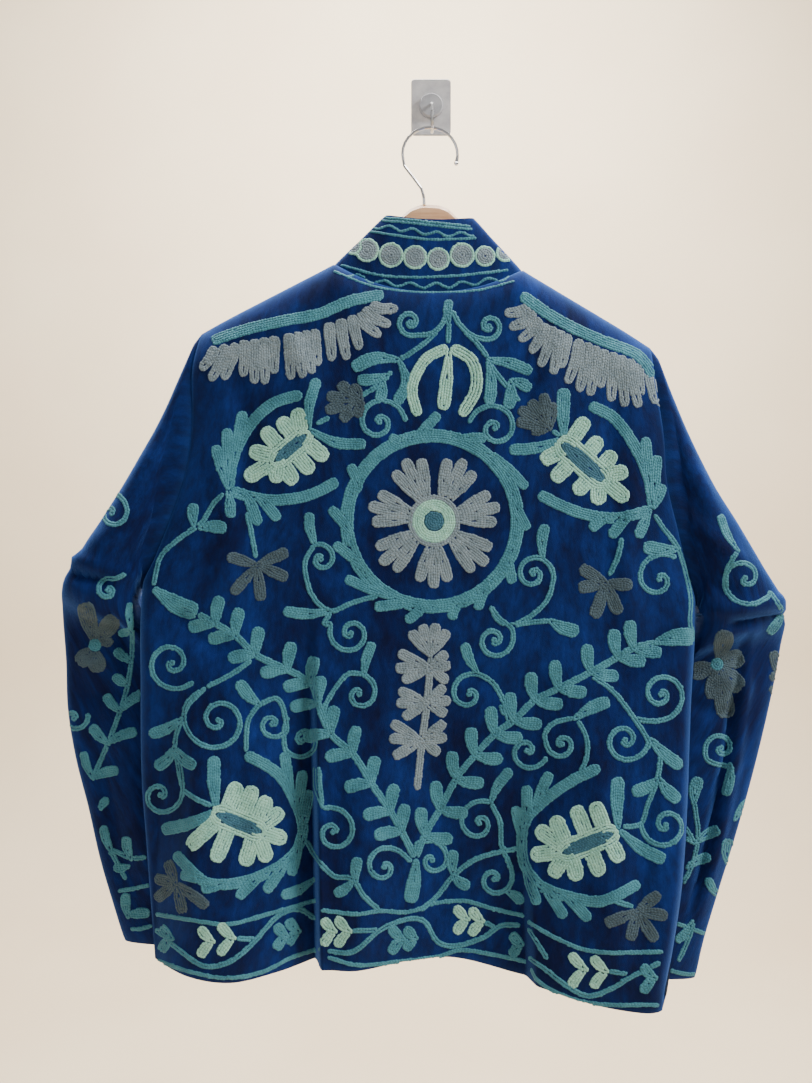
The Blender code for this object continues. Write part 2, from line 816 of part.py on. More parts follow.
def hanger_top(x):
    """Height of the hanger's upper edge: a dome at the neck, then just under the seams."""
    shoulder = top_edge_z(max(abs(x), NECK_HALF), False) - HANGER_CLEARANCE
    shoulder -= HANGER_TIP_DROP * smooth_rise((abs(x) - HANGER_TIP_FROM) / HANGER_TIP_RUN)
    dome = curve_value([row.x for row in HANGER_DOME], [row.z for row in HANGER_DOME], abs(x))
    past_dome = smooth_rise((abs(x) - HANGER_DOME[-1].x) / HANGER_NECK_RUN)
    under = mix(dome, shoulder, past_dome)
    return min(under, shoulder) if abs(x) > NECK_HALF else under


def build_hanger():
    """Flat wooden hanger, deepest at its neck."""
    vertices = []
    for station in range(HANGER_STATIONS + 1):
        along = math.sin(math.pi * (station / HANGER_STATIONS - 0.5))
        x = HANGER_HALF * mix(along**3, along, HANGER_EVEN_SHARE)
        top = hanger_top(x)
        end = roll(HANGER_HALF - abs(x), HANGER_END_RADIUS)
        neck = 1.0 - smooth_rise(abs(x) / HANGER_NECK_REACH)
        height = mix(HANGER_ARM_HEIGHT, HANGER_NECK_HEIGHT, neck) * max(end, HANGER_END_HEIGHT)
        half_depth = HANGER_HALF_DEPTH * max(end, HANGER_END_DEPTH)
        for side in range(HANGER_SIDES):
            angle = 2.0 * math.pi * side / HANGER_SIDES
            y = HANGER_Y + half_depth * math.sin(angle)
            z = top - 0.5 * height * (1.0 - math.cos(angle))
            vertices.append(hang(Vector((x, y, z))))
    material = make_material("hanger_wood", HANGER_WOOD, 0.45)
    make_node("hanger_body", vertices, ring_faces(HANGER_STATIONS + 1, HANGER_SIDES), material)


def hook_path():
    """Middle line of the hanger's wire hook, from its tip to the wood."""
    path = []
    for step in range(HOOK_ARC_STEPS + 1):
        angle = math.radians(mix(HOOK_ARC_FROM, HOOK_ARC_TO, step / HOOK_ARC_STEPS))
        x = HOOK_ARC_X + HOOK_ARC_RADIUS * math.cos(angle)
        z = -HOOK_ARC_RADIUS + HOOK_ARC_RADIUS * math.sin(angle)
        y = CROWN_Y - HOOK_SETBACK * smooth_rise((angle - 0.5 * math.pi) / math.pi)
        path.append(Vector((x, y, z)))
    path.extend(Vector(point) for point in HOOK_SHANK)
    return path


def build_hanger_hook():
    """Chromed wire with a small ball at its tip."""
    path = hook_path()
    wire = [HOOK_WIRE_RADIUS] * (len(path) - 1)
    radii = [HOOK_TIP_START, HOOK_TIP_NECK, HOOK_TIP_RADIUS, HOOK_TIP_NECK] + wire
    along = (path[1] - path[0]).normalized()
    lead = [path[0] - along * back for back in HOOK_TIP_LEADS]
    vertices, faces = tube_mesh(lead + path, radii, WIRE_SIDES)
    material = make_material("hook_chrome", HOOK_CHROME, 0.18, metallic=1.0)
    make_node("hanger_hook", [hang(vertex) for vertex in vertices], faces, material)


def build_wall_hook():
    """Clear plate on the wall, its round boss and the metal hook on it."""
    outline = []
    for centre_x, centre_z, start in ((1, 1, 0), (-1, 1, 90), (-1, -1, 180), (1, -1, 270)):
        for step in range(CORNER_STEPS + 1):
            angle = math.radians(start + 90.0 * step / CORNER_STEPS)
            x = centre_x * (0.5 * PLATE_WIDTH - PLATE_CORNER) + PLATE_CORNER * math.cos(angle)
            z = centre_z * (0.5 * PLATE_HEIGHT - PLATE_CORNER) + PLATE_CORNER * math.sin(angle)
            outline.append((x, z))
    vertices = []
    for depth, inset in ((0.0, 0.0), (PLATE_CHAMFER - PLATE_DEPTH, 0.0),
                         (-PLATE_DEPTH, PLATE_CHAMFER)):
        for x, z in outline:
            scale = 1.0 - 2.0 * inset / PLATE_WIDTH
            vertices.append(Vector((x * scale, depth, z * scale)))
    clear = make_material("plate_clear", PLATE_CLEAR, 0.15, alpha=0.5)
    make_node("wall_plate", vertices, ring_faces(3, len(outline)), clear)

    front = -PLATE_DEPTH - SEAM_GAP
    vertices = []
    for depth, radius in ((front, BOSS_RADIUS),
                          (front - BOSS_DEPTH + BOSS_CHAMFER, BOSS_RADIUS),
                          (front - BOSS_DEPTH, BOSS_RADIUS - BOSS_CHAMFER)):
        for side in range(BOSS_SIDES):
            angle = 2.0 * math.pi * side / BOSS_SIDES
            vertices.append(Vector((radius * math.cos(angle), depth, radius * math.sin(angle))))
    boss = make_material("boss_clear", BOSS_CLEAR, 0.12, alpha=0.6)
    make_node("hook_boss", vertices, ring_faces(3, BOSS_SIDES), boss)

    start = front - BOSS_DEPTH - SEAM_GAP
    trough = CROWN_Z - HOOK_WIRE_RADIUS - SEAM_GAP - WALL_WIRE_RADIUS
    path = [Vector((CROWN_X, start - out, z)) for out, z in WALL_WIRE_DROP]
    reach = -CROWN_Y + start - WALL_WIRE_DROP[-1][0]
    for step in range(WALL_WIRE_STEPS + 1):
        angle = math.radians(180.0 + WALL_WIRE_SWEEP * step / WALL_WIRE_STEPS)
        z = trough + abs(reach) * (1.0 + math.sin(angle))
        path.append(Vector((CROWN_X, CROWN_Y - reach * math.cos(angle), z)))
    vertices, faces = tube_mesh(path, [WALL_WIRE_RADIUS] * len(path), WIRE_SIDES)
    steel = make_material("hook_steel", HOOK_STEEL, 0.25, metallic=1.0)
    make_node("wall_hook", vertices, faces, steel)


def main():
    """Clear the scene and build every piece."""
    for old in list(bpy.data.objects):
        bpy.data.objects.remove(old)
    build_cloth()
    build_hanger()
    build_hanger_hook()
    build_wall_hook()


main()
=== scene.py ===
"""Looks of the embroidered velvet jacket that hangs, back outwards, on a hanger and a wall hook.

Lengths are millimetres in the garment's own frame until a mesh is made, which is in metres in
the frame of the CAD model. The garment's frame has x across the back, z up from the crown of
the hanger's hook and y as in the world, where the wall is y = 0 and the room is at -y.
"""
import logging
import math
from dataclasses import dataclass, field
from enum import Enum
from typing import NamedTuple

import bpy
import numpy as np
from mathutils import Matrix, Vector
from mathutils.bvhtree import BVHTree


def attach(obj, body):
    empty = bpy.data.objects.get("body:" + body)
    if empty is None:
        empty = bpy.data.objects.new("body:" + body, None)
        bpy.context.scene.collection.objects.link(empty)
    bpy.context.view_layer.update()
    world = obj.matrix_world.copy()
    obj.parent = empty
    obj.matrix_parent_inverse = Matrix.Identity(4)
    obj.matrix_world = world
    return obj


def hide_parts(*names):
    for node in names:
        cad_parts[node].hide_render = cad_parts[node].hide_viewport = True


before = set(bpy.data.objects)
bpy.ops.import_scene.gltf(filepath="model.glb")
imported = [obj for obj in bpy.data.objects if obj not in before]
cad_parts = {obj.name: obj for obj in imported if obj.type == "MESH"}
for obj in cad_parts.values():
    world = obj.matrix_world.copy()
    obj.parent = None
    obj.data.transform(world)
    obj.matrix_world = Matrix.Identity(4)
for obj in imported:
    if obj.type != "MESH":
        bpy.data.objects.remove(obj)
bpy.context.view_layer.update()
LOG = logging.getLogger("jacket")
MM = 0.001
BODY = "root"
# share of a crease over which it rises at its start and dies out at its end, and how far its
# width grows from one end to the other
CREASE_END = 0.3
CREASE_START_WIDTH = 0.75
CREASE_WIDENING = 0.5


def smooth_rise(value: np.ndarray) -> np.ndarray:
    """Rise from 0 to 1 with level ends."""
    value = np.clip(value, 0.0, 1.0)
    return value * value * (3.0 - 2.0 * value)


def roll(distance: np.ndarray, radius: np.ndarray) -> np.ndarray:
    """Quarter round: 0 at an edge, 1 from radius inwards."""
    return np.sqrt(1.0 - (1.0 - np.clip(distance / radius, 0.0, 1.0)) ** 2)


def mix(first: np.ndarray, second: np.ndarray, share: np.ndarray) -> np.ndarray:
    """Value between first and second."""
    return first + (second - first) * share


def curve_value(keys: np.ndarray, values: np.ndarray, at: np.ndarray) -> np.ndarray:
    """Read a smooth curve through a table.

    Args:
        keys: Rising keys of the table.
        values: Value at each key.
        at: Places to read.

    Returns:
        The curve's value at each place.
    """
    keys = np.asarray(keys, float)
    values = np.asarray(values, float)
    last = len(keys) - 1
    at = np.clip(np.asarray(at, float), keys[0], keys[-1])
    slot = np.clip(np.searchsorted(keys, at, side="left") - 1, 0, last - 1)
    low = np.maximum(np.arange(last + 1) - 1, 0)
    high = np.minimum(np.arange(last + 1) + 1, last)
    slopes = (values[high] - values[low]) / (keys[high] - keys[low])
    span = keys[slot + 1] - keys[slot]
    t = (at - keys[slot]) / span
    return ((2 * t**3 - 3 * t**2 + 1) * values[slot]
            + (t**3 - 2 * t**2 + t) * span * slopes[slot]
            + (3 * t**2 - 2 * t**3) * values[slot + 1]
            + (t**3 - t**2) * span * slopes[slot + 1])


def unit(vectors: np.ndarray) -> np.ndarray:
    """Vectors of length one."""
    return vectors / np.maximum(np.linalg.norm(vectors, axis=-1, keepdims=True), 1e-9)


def refined(values: np.ndarray, parts: int) -> np.ndarray:
    """Split each step of a list of numbers into equal parts."""
    values = np.asarray(values, float)
    at = np.arange((len(values) - 1) * parts + 1) / parts
    return np.interp(at, np.arange(len(values)), values)


def run_length(points: np.ndarray, axis: int = 0, least: float = 0.0) -> np.ndarray:
    """Distance of points along their lines.

    Args:
        points: Points, with their coordinates on the last axis.
        axis: Axis along which the lines run.
        least: Smallest step that is counted.

    Returns:
        Distance of each point from the start of its line.
    """
    steps = np.maximum(np.linalg.norm(np.diff(points, axis=axis), axis=-1), least)
    ends = np.cumsum(steps, axis=axis)
    return np.concatenate([np.zeros_like(np.take(ends, [0], axis)), ends], axis)


def named(kind: type, rows: tuple) -> tuple:
    """Give the plain rows of a table the field names of one kind."""
    return tuple(kind(*row) for row in rows)


def put_in_scene(name: str, data: bpy.types.ID) -> bpy.types.Object:
    """New object in the scene for a mesh, a light or a camera."""
    thing = bpy.data.objects.new(name, data)
    bpy.context.scene.collection.objects.link(thing)
    return thing


def lay_uv(mesh: bpy.types.Mesh, name: str, flat: np.ndarray) -> None:
    """Give a mesh the texture coordinates of its vertices.

    Args:
        mesh: The mesh.
        name: Name of the layer.
        flat: Place (u, v) of each vertex, in millimetres.
    """
    corners = np.empty(len(mesh.loops), int)
    mesh.loops.foreach_get("vertex_index", corners)
    layer = mesh.uv_layers.new(name=name)
    layer.data.foreach_set("uv", (flat[corners] * MM).astype(np.float32).ravel())


class Side(NamedTuple):
    """Half width of the body, or depth of its seam, at one level on the left and the right."""
    z: float
    left: float
    right: float


class Hem(NamedTuple):
    """Depth of the back and drop of the hem at one place across the hem."""
    x: float
    depth: float
    drop: float


class Fold(NamedTuple):
    """A vertical step in the back panel that dies out upwards."""
    top: float
    run: float
    x_top: float
    x_hem: float
    left: float
    left_reach: float
    right: float
    right_reach: float
    half_width: float


class Ring(NamedTuple):
    """One section of a sleeve, from its outer edge to its underarm edge."""
    outer_x: float
    outer_z: float
    outer_y: float
    inner_x: float
    inner_z: float
    inner_y: float
    to_room: float
    to_wall: float


class Crease(NamedTuple):
    """A soft ridge, or a trough where lift is below 0, along a line of (x, z) points."""
    points: tuple
    lift: float
    width: float


SIDES = named(Side, (
    (-230, 230, 230), (-270, 236, 234), (-321, 233, 242), (-372, 237, 247), (-416, 250, 259),
    (-460, 267, 272), (-493, 281, 282), (-600, 280, 279), (-690, 276, 276), (-763, 268, 271),
    (-820, 261, 262), (-868, 255, 250),
))
SEAM_DEPTHS = named(Side, (
    (-230, -48, -48), (-493, -50, -52), (-700, -54, -60), (-800, -58, -74), (-868, -62, -98),
))
HEM = named(Hem, (
    (-255, -64, 0), (-215, -88, 5), (-172, -95, 7), (-130, -82, 4), (-90, -72, -1), (-50, -78, -2),
    (0, -68, -8), (50, -62, -10), (120, -74, 3), (155, -92, 8), (189, -100, 14), (225, -107, 16),
    (250, -109, 15),
))
FOLDS = (
    Fold(-480, 250, -107, -89, 24, 34, -9, 24, 6),
    Fold(-640, 190, 109, 125, 9, 30, -9, 38, 6),
)
LEFT_RINGS = named(Ring, (
    (236, -241, -49, 285, -494, -49, 22, 20), (247, -270, -50, 287, -500, -47, 25, 21),
    (264, -312, -50, 289, -506, -45, 28, 22), (289, -364, -50, 288, -512, -42, 30, 22),
    (319, -416, -50, 286, -518, -39, 31, 22), (346, -459, -49, 283, -528, -36, 32, 21),
    (361, -484, -47, 278, -538, -33, 32, 20), (366, -501, -43, 272, -546, -30, 28, 18),
    (369, -515, -35, 264, -555, -28, 18, 16), (370, -535, -29, 254, -568, -26, 14, 15),
    (367, -575, -26, 236, -597, -25, 15, 15), (364, -625, -25, 220, -638, -25, 16, 15),
    (354, -676, -25, 207, -683, -25, 16, 15), (339, -728, -25, 194, -732, -25, 16, 15),
    (325, -782, -25, 184, -785, -25, 15, 14), (308, -834, -25, 172, -836, -25, 14, 13),
    (297, -866, -25, 164, -864, -25, 14, 13),
))
RIGHT_RINGS = named(Ring, (
    (237, -241, -49, 286, -494, -51, 22, 20), (251, -276, -50, 288, -500, -49, 25, 21),
    (270, -318, -50, 290, -506, -46, 28, 22), (295, -366, -50, 288, -512, -43, 31, 22),
    (323, -408, -50, 286, -518, -40, 33, 22), (350, -450, -49, 283, -528, -37, 34, 21),
    (368, -476, -47, 278, -538, -33, 34, 20), (379, -494, -43, 272, -546, -30, 30, 18),
    (383, -511, -35, 264, -555, -28, 18, 16), (382, -533, -29, 254, -568, -26, 14, 15),
    (377, -575, -26, 238, -597, -25, 16, 15), (368, -625, -25, 222, -638, -25, 17, 15),
    (356, -680, -25, 209, -686, -25, 17, 15), (341, -740, -25, 198, -744, -25, 17, 15),
    (325, -798, -25, 186, -800, -25, 16, 14), (312, -848, -25, 176, -848, -25, 15, 13),
    (305, -886, -25, 172, -882, -25, 14, 13),
))

# Creases of each piece: drag lines from the shoulders, swags at the waist, the
# crush above each elbow and the long folds of the lower sleeves
BACK_CREASES = named(Crease, (
    (((-150, -205), (-120, -270), (-104, -340)), 4.4, 13),
    (((-196, -245), (-178, -330), (-176, -420)), -4.1, 14),
    (((-215, -330), (-188, -430), (-196, -520)), 4.8, 12),
    (((148, -206), (126, -262), (117, -330)), 4.1, 12),
    (((200, -250), (186, -320), (180, -400)), -3.7, 13),
    (((222, -345), (205, -440), (214, -540)), 4.4, 12),
    (((-258, -505), (-205, -548), (-168, -560)), -5.4, 11),
    (((262, -508), (212, -556), (176, -572)), -5.1, 11),
    (((-60, -210), (-52, -300), (-58, -390)), 2.4, 14),
    (((56, -212), (62, -296), (55, -380)), 2.4, 14),
    (((-220, -590), (-206, -700), (-212, -850)), 5.8, 16),
    (((-176, -620), (-168, -740), (-150, -862)), -5.1, 15),
    (((-60, -640), (-42, -740), (-38, -870)), 4.4, 18),
    (((18, -610), (28, -720), (40, -862)), -4.1, 20),
    (((176, -600), (190, -720), (206, -878)), 5.4, 17),
    (((232, -640), (226, -740), (222, -868)), -4.1, 12),
    (((-120, -455), (-60, -476), (0, -470)), -2.2, 12),
    (((30, -560), (90, -585), (150, -580)), -2.7, 12),
))
FRONT_CREASES = named(Crease, (
    (((150, -206), (118, -280), (100, -370)), 3.3, 14),
    (((205, -250), (190, -330), (196, -430)), -3.6, 12),
    (((250, -505), (200, -560), (150, -585)), -3.9, 12),
    (((60, -300), (52, -400), (64, -520)), 2.7, 16),
    (((210, -600), (196, -720), (204, -850)), 4.2, 15),
    (((120, -620), (128, -740), (112, -860)), -3.9, 17),
    (((40, -640), (48, -760), (36, -862)), 3.3, 16),
))
SLEEVE_CREASES = named(Crease, (
    (((246, -290), (262, -370), (300, -440)), -3.0, 10),
    (((262, -330), (296, -410), (326, -470)), 3.2, 11),
    (((258, -420), (282, -460), (330, -492)), -3.8, 9),
    (((268, -395), (300, -436), (344, -462)), 3.0, 9),
    (((300, -545), (322, -570), (356, -584)), 3.0, 9),
    (((270, -590), (312, -606), (358, -612)), -3.0, 9),
    (((262, -628), (292, -650), (344, -658)), 2.2, 10),
    (((334, -600), (322, -690), (296, -790), (276, -850)), -3.2, 10),
    (((300, -640), (284, -730), (258, -820)), 2.7, 11),
))
# the underarm edge swells towards the body
UNDERARM = Crease(((288, -505), (274, -545), (240, -600)), 4.5, 15)
LEFT_ELBOW_CREASES = named(Crease, (
    (((360, -478), (345, -482), (322, -487), (298, -492)), -8.5, 6),
    (((380, -460), (355, -465), (326, -469), (294, -477), (262, -488)), 4.5, 7),
    (((318, -494), (304, -540), (296, -600)), -4.0, 8),
))
RIGHT_ELBOW_CREASES = named(Crease, (
    (((392, -498), (366, -505), (328, -510), (300, -512)), -9.0, 6),
    (((392, -480), (366, -486), (328, -491), (300, -494), (268, -502)), 4.5, 7),
    (((337, -500), (333, -581), (325, -654), (311, -737), (288, -850)), -6.5, 5),
    (((347, -500), (343, -581), (335, -654), (321, -737), (298, -850)), 3.5, 7),
))
COLLAR_CREASES = named(Crease, (
    (((-60, -150), (-40, -158), (-14, -162)), -1.2, 7),
    (((20, -160), (44, -156), (66, -150)), -1.1, 7),
))


@dataclass(frozen=True)
class GarmentCut:
    """Cut and hang of the jacket. The CAD solids differ from it at elbows and underarms alone.

    A field that ends in _run is the distance over which one shape gives way to another.
    """
    hang_tilt: float = math.radians(1.8)
    crown_x: float = 0.6
    crown_z: float = -34.0
    neck_half: float = 97.0
    neck_point_z: float = -156.0
    nape_z: float = -184.0
    shoulder_half: float = 230.0
    shoulder_z: float = -230.0
    armpit_z: float = -493.0
    hem_level: float = -868.0
    front_neck_z: float = -238.0
    front_edge_x: float = 4.0
    hanger_y: float = -48.0
    nape_y: float = -64.0
    front_neck_y: float = -24.0
    back_upper_y: float = -73.0
    armhole_half_depth: float = 20.0
    front_chest_y: float = -32.0
    front_side_y: float = -47.0
    front_centre_y: float = -24.0
    neck_fullness: float = 0.34
    collar_top_half: float = 46.0
    collar_top_z: float = -110.0
    collar_corner_rise: float = 6.0
    collar_front_top_z: float = -176.0
    collar_half_depth: float = 15.0
    nape_power: float = 2.2
    flare_from_z: float = -430.0
    back_flare_run: float = 430.0
    front_drop_run: float = 70.0
    front_centre_reach: float = 140.0
    front_centre_run: float = 120.0
    side_roll_armhole: float = 45.0
    side_roll_below: float = 18.0
    near_underarm: float = 0.75
    shoulder_roll: float = 45.0
    neck_roll: float = 30.0
    neck_roll_margin: float = 15.0
    fold_crowding: float = 3.2
    fold_crowding_run: float = 14.0
    side_crowding: float = 2.2
    side_crowding_run: float = 12.0
    sleeve_step: float = 6.0
    sleeve_lead: int = 3
    sleeve_roundness: float = 0.8
    tuck_rise: float = 2.0
    tuck_run: float = 12.0
    tuck_gap: float = 3.8
    tuck_depth: float = 70.0
    tuck_edge: float = 3.0
    tuck_edge_run: float = 16.0
    untucked_y: float = -200.0
    armhole_rows: int = 11
    side_rows: int = 14
    back_columns: int = 38
    front_neck_columns: int = 6
    collar_rows: int = 5
    finer: int = 4

    def hang(self, points: np.ndarray) -> np.ndarray:
        """Turn points of the garment's frame into the world, still in millimetres."""
        cos, sin = math.cos(self.hang_tilt), math.sin(self.hang_tilt)
        world = np.array(points, float)
        world[..., 0] = self.crown_x + cos * points[..., 0] + sin * points[..., 2]
        world[..., 2] = self.crown_z - sin * points[..., 0] + cos * points[..., 2]
        return world

    def at_level(self, table: tuple, z: np.ndarray, side: np.ndarray) -> np.ndarray:
        """Read a table of levels, on the left (-1) or the right (1)."""
        keys = [-row.z for row in table]
        left = curve_value(keys, [row.left for row in table], -z)
        right = curve_value(keys, [row.right for row in table], -z)
        return np.where(np.asarray(side) < 0, left, right)

    def across_hem(self, x: np.ndarray, column: str) -> np.ndarray:
        """Read one column of the hem's table."""
        return curve_value([row.x for row in HEM], [getattr(row, column) for row in HEM], x)

    def side_x(self, z: np.ndarray, side: np.ndarray) -> np.ndarray:
        """Place of the body's edge at one level."""
        return side * self.at_level(SIDES, z, side)

    def hem_z(self, x: np.ndarray) -> np.ndarray:
        """Height of the hem."""
        return self.hem_level - self.across_hem(x, "drop")

    def armhole_share(self, z: np.ndarray) -> np.ndarray:
        """Where a level lies down the armhole, 0 at the shoulder and 1 at the underarm."""
        return np.clip((self.shoulder_z - z) / (self.shoulder_z - self.armpit_z), 0.0, 1.0)

    def top_edge_z(self, x: np.ndarray, front: bool) -> np.ndarray:
        """Height of the shoulder seam and of the neckline."""
        ax = np.abs(x)
        half, edge = self.neck_half, self.front_edge_x
        shoulder = mix(self.neck_point_z, self.shoulder_z,
                       (ax - half) / (self.shoulder_half - half))
        if front:
            share = (ax - edge) / (half - edge)
            neck = mix(self.front_neck_z, self.neck_point_z, share * np.abs(share))
        else:
            neck = mix(self.nape_z, self.neck_point_z, (ax / half) ** self.nape_power)
        return np.where(ax >= half, shoulder, neck)

    def top_edge_depth(self, x: np.ndarray, front: bool) -> np.ndarray:
        """Depth of the shoulder seam and of the neckline."""
        ax = np.abs(x)
        start = self.front_edge_x if front else 0.0
        share = (ax - start) / (self.neck_half - start)
        middle = self.front_neck_y if front else self.nape_y
        round_part = np.maximum(0.0, 1.0 - share**2) ** self.neck_fullness
        return np.where(ax >= self.neck_half, self.hanger_y,
                        mix(self.hanger_y, middle, round_part))

    def fold_depth(self, fold: Fold, x: np.ndarray, z: np.ndarray) -> np.ndarray:
        """Depth that a fold adds: it steps from its left value to its right value."""
        strength = smooth_rise((fold.top - z) / fold.run)
        low = np.clip((fold.top - z) / (fold.top - self.hem_level), 0.0, 1.0)
        beside = x - mix(fold.x_top, fold.x_hem, low)
        left = fold.left * np.exp(np.minimum(beside, 0.0) / fold.left_reach)
        right = fold.right * np.exp(-np.maximum(beside, 0.0) / fold.right_reach)
        step = smooth_rise((beside + fold.half_width) / (2.0 * fold.half_width))
        return strength * mix(left, right, step)

    def body_depth(self, x: np.ndarray, z: np.ndarray, front: bool) -> np.ndarray:
        """Depth of the back or a front away from its edges."""
        if front:
            below = smooth_rise((self.flare_from_z - z) / self.front_drop_run)
            side = mix(self.front_chest_y, self.front_side_y, below)
            inward = (self.front_centre_reach - np.abs(x)) / self.front_centre_run
            return mix(side, self.front_centre_y, smooth_rise(inward))
        low = smooth_rise((self.flare_from_z - z) / self.back_flare_run)
        depth = mix(self.back_upper_y, self.across_hem(x, "depth"), low)
        return depth + sum(self.fold_depth(fold, x, z) for fold in FOLDS)

    def panel_depth(self, x: np.ndarray, z: np.ndarray, front: bool) -> np.ndarray:
        """Depth of the back or a front, rolled in to its edges."""
        side = np.where(x < 0, -1, 1)
        share = self.armhole_share(z)
        below_top = self.top_edge_z(x, front) - z
        from_side = np.abs(self.side_x(z, side)) - np.abs(x)
        side_roll = mix(self.side_roll_armhole, self.side_roll_below,
                        smooth_rise((share - self.near_underarm) / (1.0 - self.near_underarm)))
        margin = self.neck_roll_margin
        top_roll = mix(self.shoulder_roll, self.neck_roll,
                       smooth_rise((self.neck_half + margin - np.abs(x)) / (2.0 * margin)))
        low, inward = np.maximum(below_top, 0.0), np.maximum(from_side, 0.0)
        opening = self.armhole_half_depth * np.sqrt(4.0 * share * (1.0 - share))
        seam = self.at_level(SEAM_DEPTHS, z, side) + (opening if front else -opening)
        edge = mix(self.top_edge_depth(x, front), seam, low / (low + inward + 1e-9))
        body = self.body_depth(x, z, front)
        return mix(edge, body, roll(from_side, side_roll) * roll(below_top, top_roll))

    def levels(self) -> np.ndarray:
        """Levels of the rows down a side, close together at both ends of the armhole."""
        count = self.armhole_rows * self.finer
        share = 0.5 - 0.5 * np.cos(np.pi * np.arange(count) / count)
        upper = mix(self.shoulder_z, self.armpit_z, share)
        lower = np.linspace(self.armpit_z, self.hem_level, self.side_rows * self.finer + 1)
        return np.concatenate([upper, lower])

    def hem_places(self) -> tuple[np.ndarray, int, int]:
        """Columns across the hem, closest at the folds and the sides.

        Returns:
            The places, and the columns that end at the two neck points.
        """
        left, right = (float(self.side_x(np.array(self.hem_level), side)) for side in (-1, 1))
        x = np.linspace(left, right, 2001)
        weight = np.ones_like(x)
        for fold in FOLDS:
            weight += self.fold_crowding * np.exp(
                -((x - fold.x_hem) / self.fold_crowding_run) ** 2)
        for edge in (left, right):
            weight += self.side_crowding * np.exp(-np.abs(x - edge) / self.side_crowding_run)
        total = np.concatenate([[0.0], np.cumsum(0.5 * (weight[1:] + weight[:-1]))])
        places = np.interp(np.linspace(0.0, total[-1], self.back_columns + 1), total, x)
        reach = self.neck_half * abs(left) / self.shoulder_half
        neck_left = int(np.argmin(np.abs(places + reach)))
        neck_right = int(np.argmin(np.abs(places - reach)))
        return refined(places, self.finer), neck_left * self.finer, neck_right * self.finer

    def side_edge(self, side: int) -> np.ndarray:
        """Edge of the body from the shoulder to the hem, as (x, z) points."""
        z = self.levels()
        drop = self.hem_z(self.side_x(np.array(self.hem_level), side)) - self.hem_level
        share = np.clip((self.armpit_z - z) / (self.armpit_z - self.hem_level), 0.0, 1.0)
        return np.stack([self.side_x(z, side), z + share * drop], 1)

    def stretched(self, top: np.ndarray, bottom: np.ndarray, left: np.ndarray,
                  right: np.ndarray, front: bool) -> np.ndarray:
        """Stretch a patch between four edges and give it its depth.

        Args:
            top: (x, z) points of the upper edge.
            bottom: As many points of the lower edge.
            left: Points of one side.
            right: As many points of the other side.
            front: True for a front, False for the back.

        Returns:
            Rows of points (row, column, xyz).
        """
        v = ((left[:, 1] - left[0, 1]) / (left[-1, 1] - left[0, 1]))[:, None, None]
        u = ((bottom[:, 0] - bottom[0, 0]) / (bottom[-1, 0] - bottom[0, 0]))[None, :, None]
        flat = mix(top[None], bottom[None], v) + mix(left[:, None], right[:, None], u)
        flat = flat - mix(mix(top[0], top[-1], u), mix(bottom[0], bottom[-1], u), v)
        x, z = flat[..., 0], flat[..., 1]
        return np.stack([x, self.panel_depth(x, z, front), z], -1)

    def back(self) -> np.ndarray:
        """Middle surface of the back."""
        places, neck_left, neck_right = self.hem_places()
        keys = [places[0], places[neck_left], places[neck_right], places[-1]]
        top_x = np.interp(places, keys, [-self.shoulder_half, -self.neck_half,
                                         self.neck_half, self.shoulder_half])
        top = np.stack([top_x, self.top_edge_z(top_x, False)], 1)
        bottom = np.stack([places, self.hem_z(places)], 1)
        return self.stretched(top, bottom, self.side_edge(-1), self.side_edge(1), False)

    def front(self, back: np.ndarray, side: int) -> np.ndarray:
        """Middle surface of a front, whose columns run from the side seam to the centre."""
        _, neck_left, neck_right = self.hem_places()
        shoulder = back[0, :neck_left + 1] if side < 0 else back[0, neck_right:][::-1]
        count = self.front_neck_columns * self.finer
        neck_x = mix(self.neck_half, self.front_edge_x, np.arange(1, count + 1) / count)
        neck = np.stack([side * neck_x, self.top_edge_z(neck_x, True)], 1)
        top = np.concatenate([shoulder[:, [0, 2]], neck])
        outer = self.side_edge(side)
        share = np.arange(len(top)) / (len(top) - 1)
        bottom = np.stack([mix(outer[-1, 0], side * self.front_edge_x, share),
                           mix(outer[-1, 1], self.hem_level, smooth_rise(3.0 * share))], 1)
        down = (outer[:, 1] - outer[0, 1]) / (outer[-1, 1] - outer[0, 1])
        centre = np.stack([np.full(len(outer), side * self.front_edge_x),
                           mix(top[-1, 1], self.hem_level, down)], 1)
        rows = self.stretched(top, bottom, outer, centre, True)
        rows[0, :len(shoulder)] = shoulder
        start = self.armhole_rows * self.finer
        rows[start:, 0] = back[start:, 0 if side < 0 else -1]
        return rows

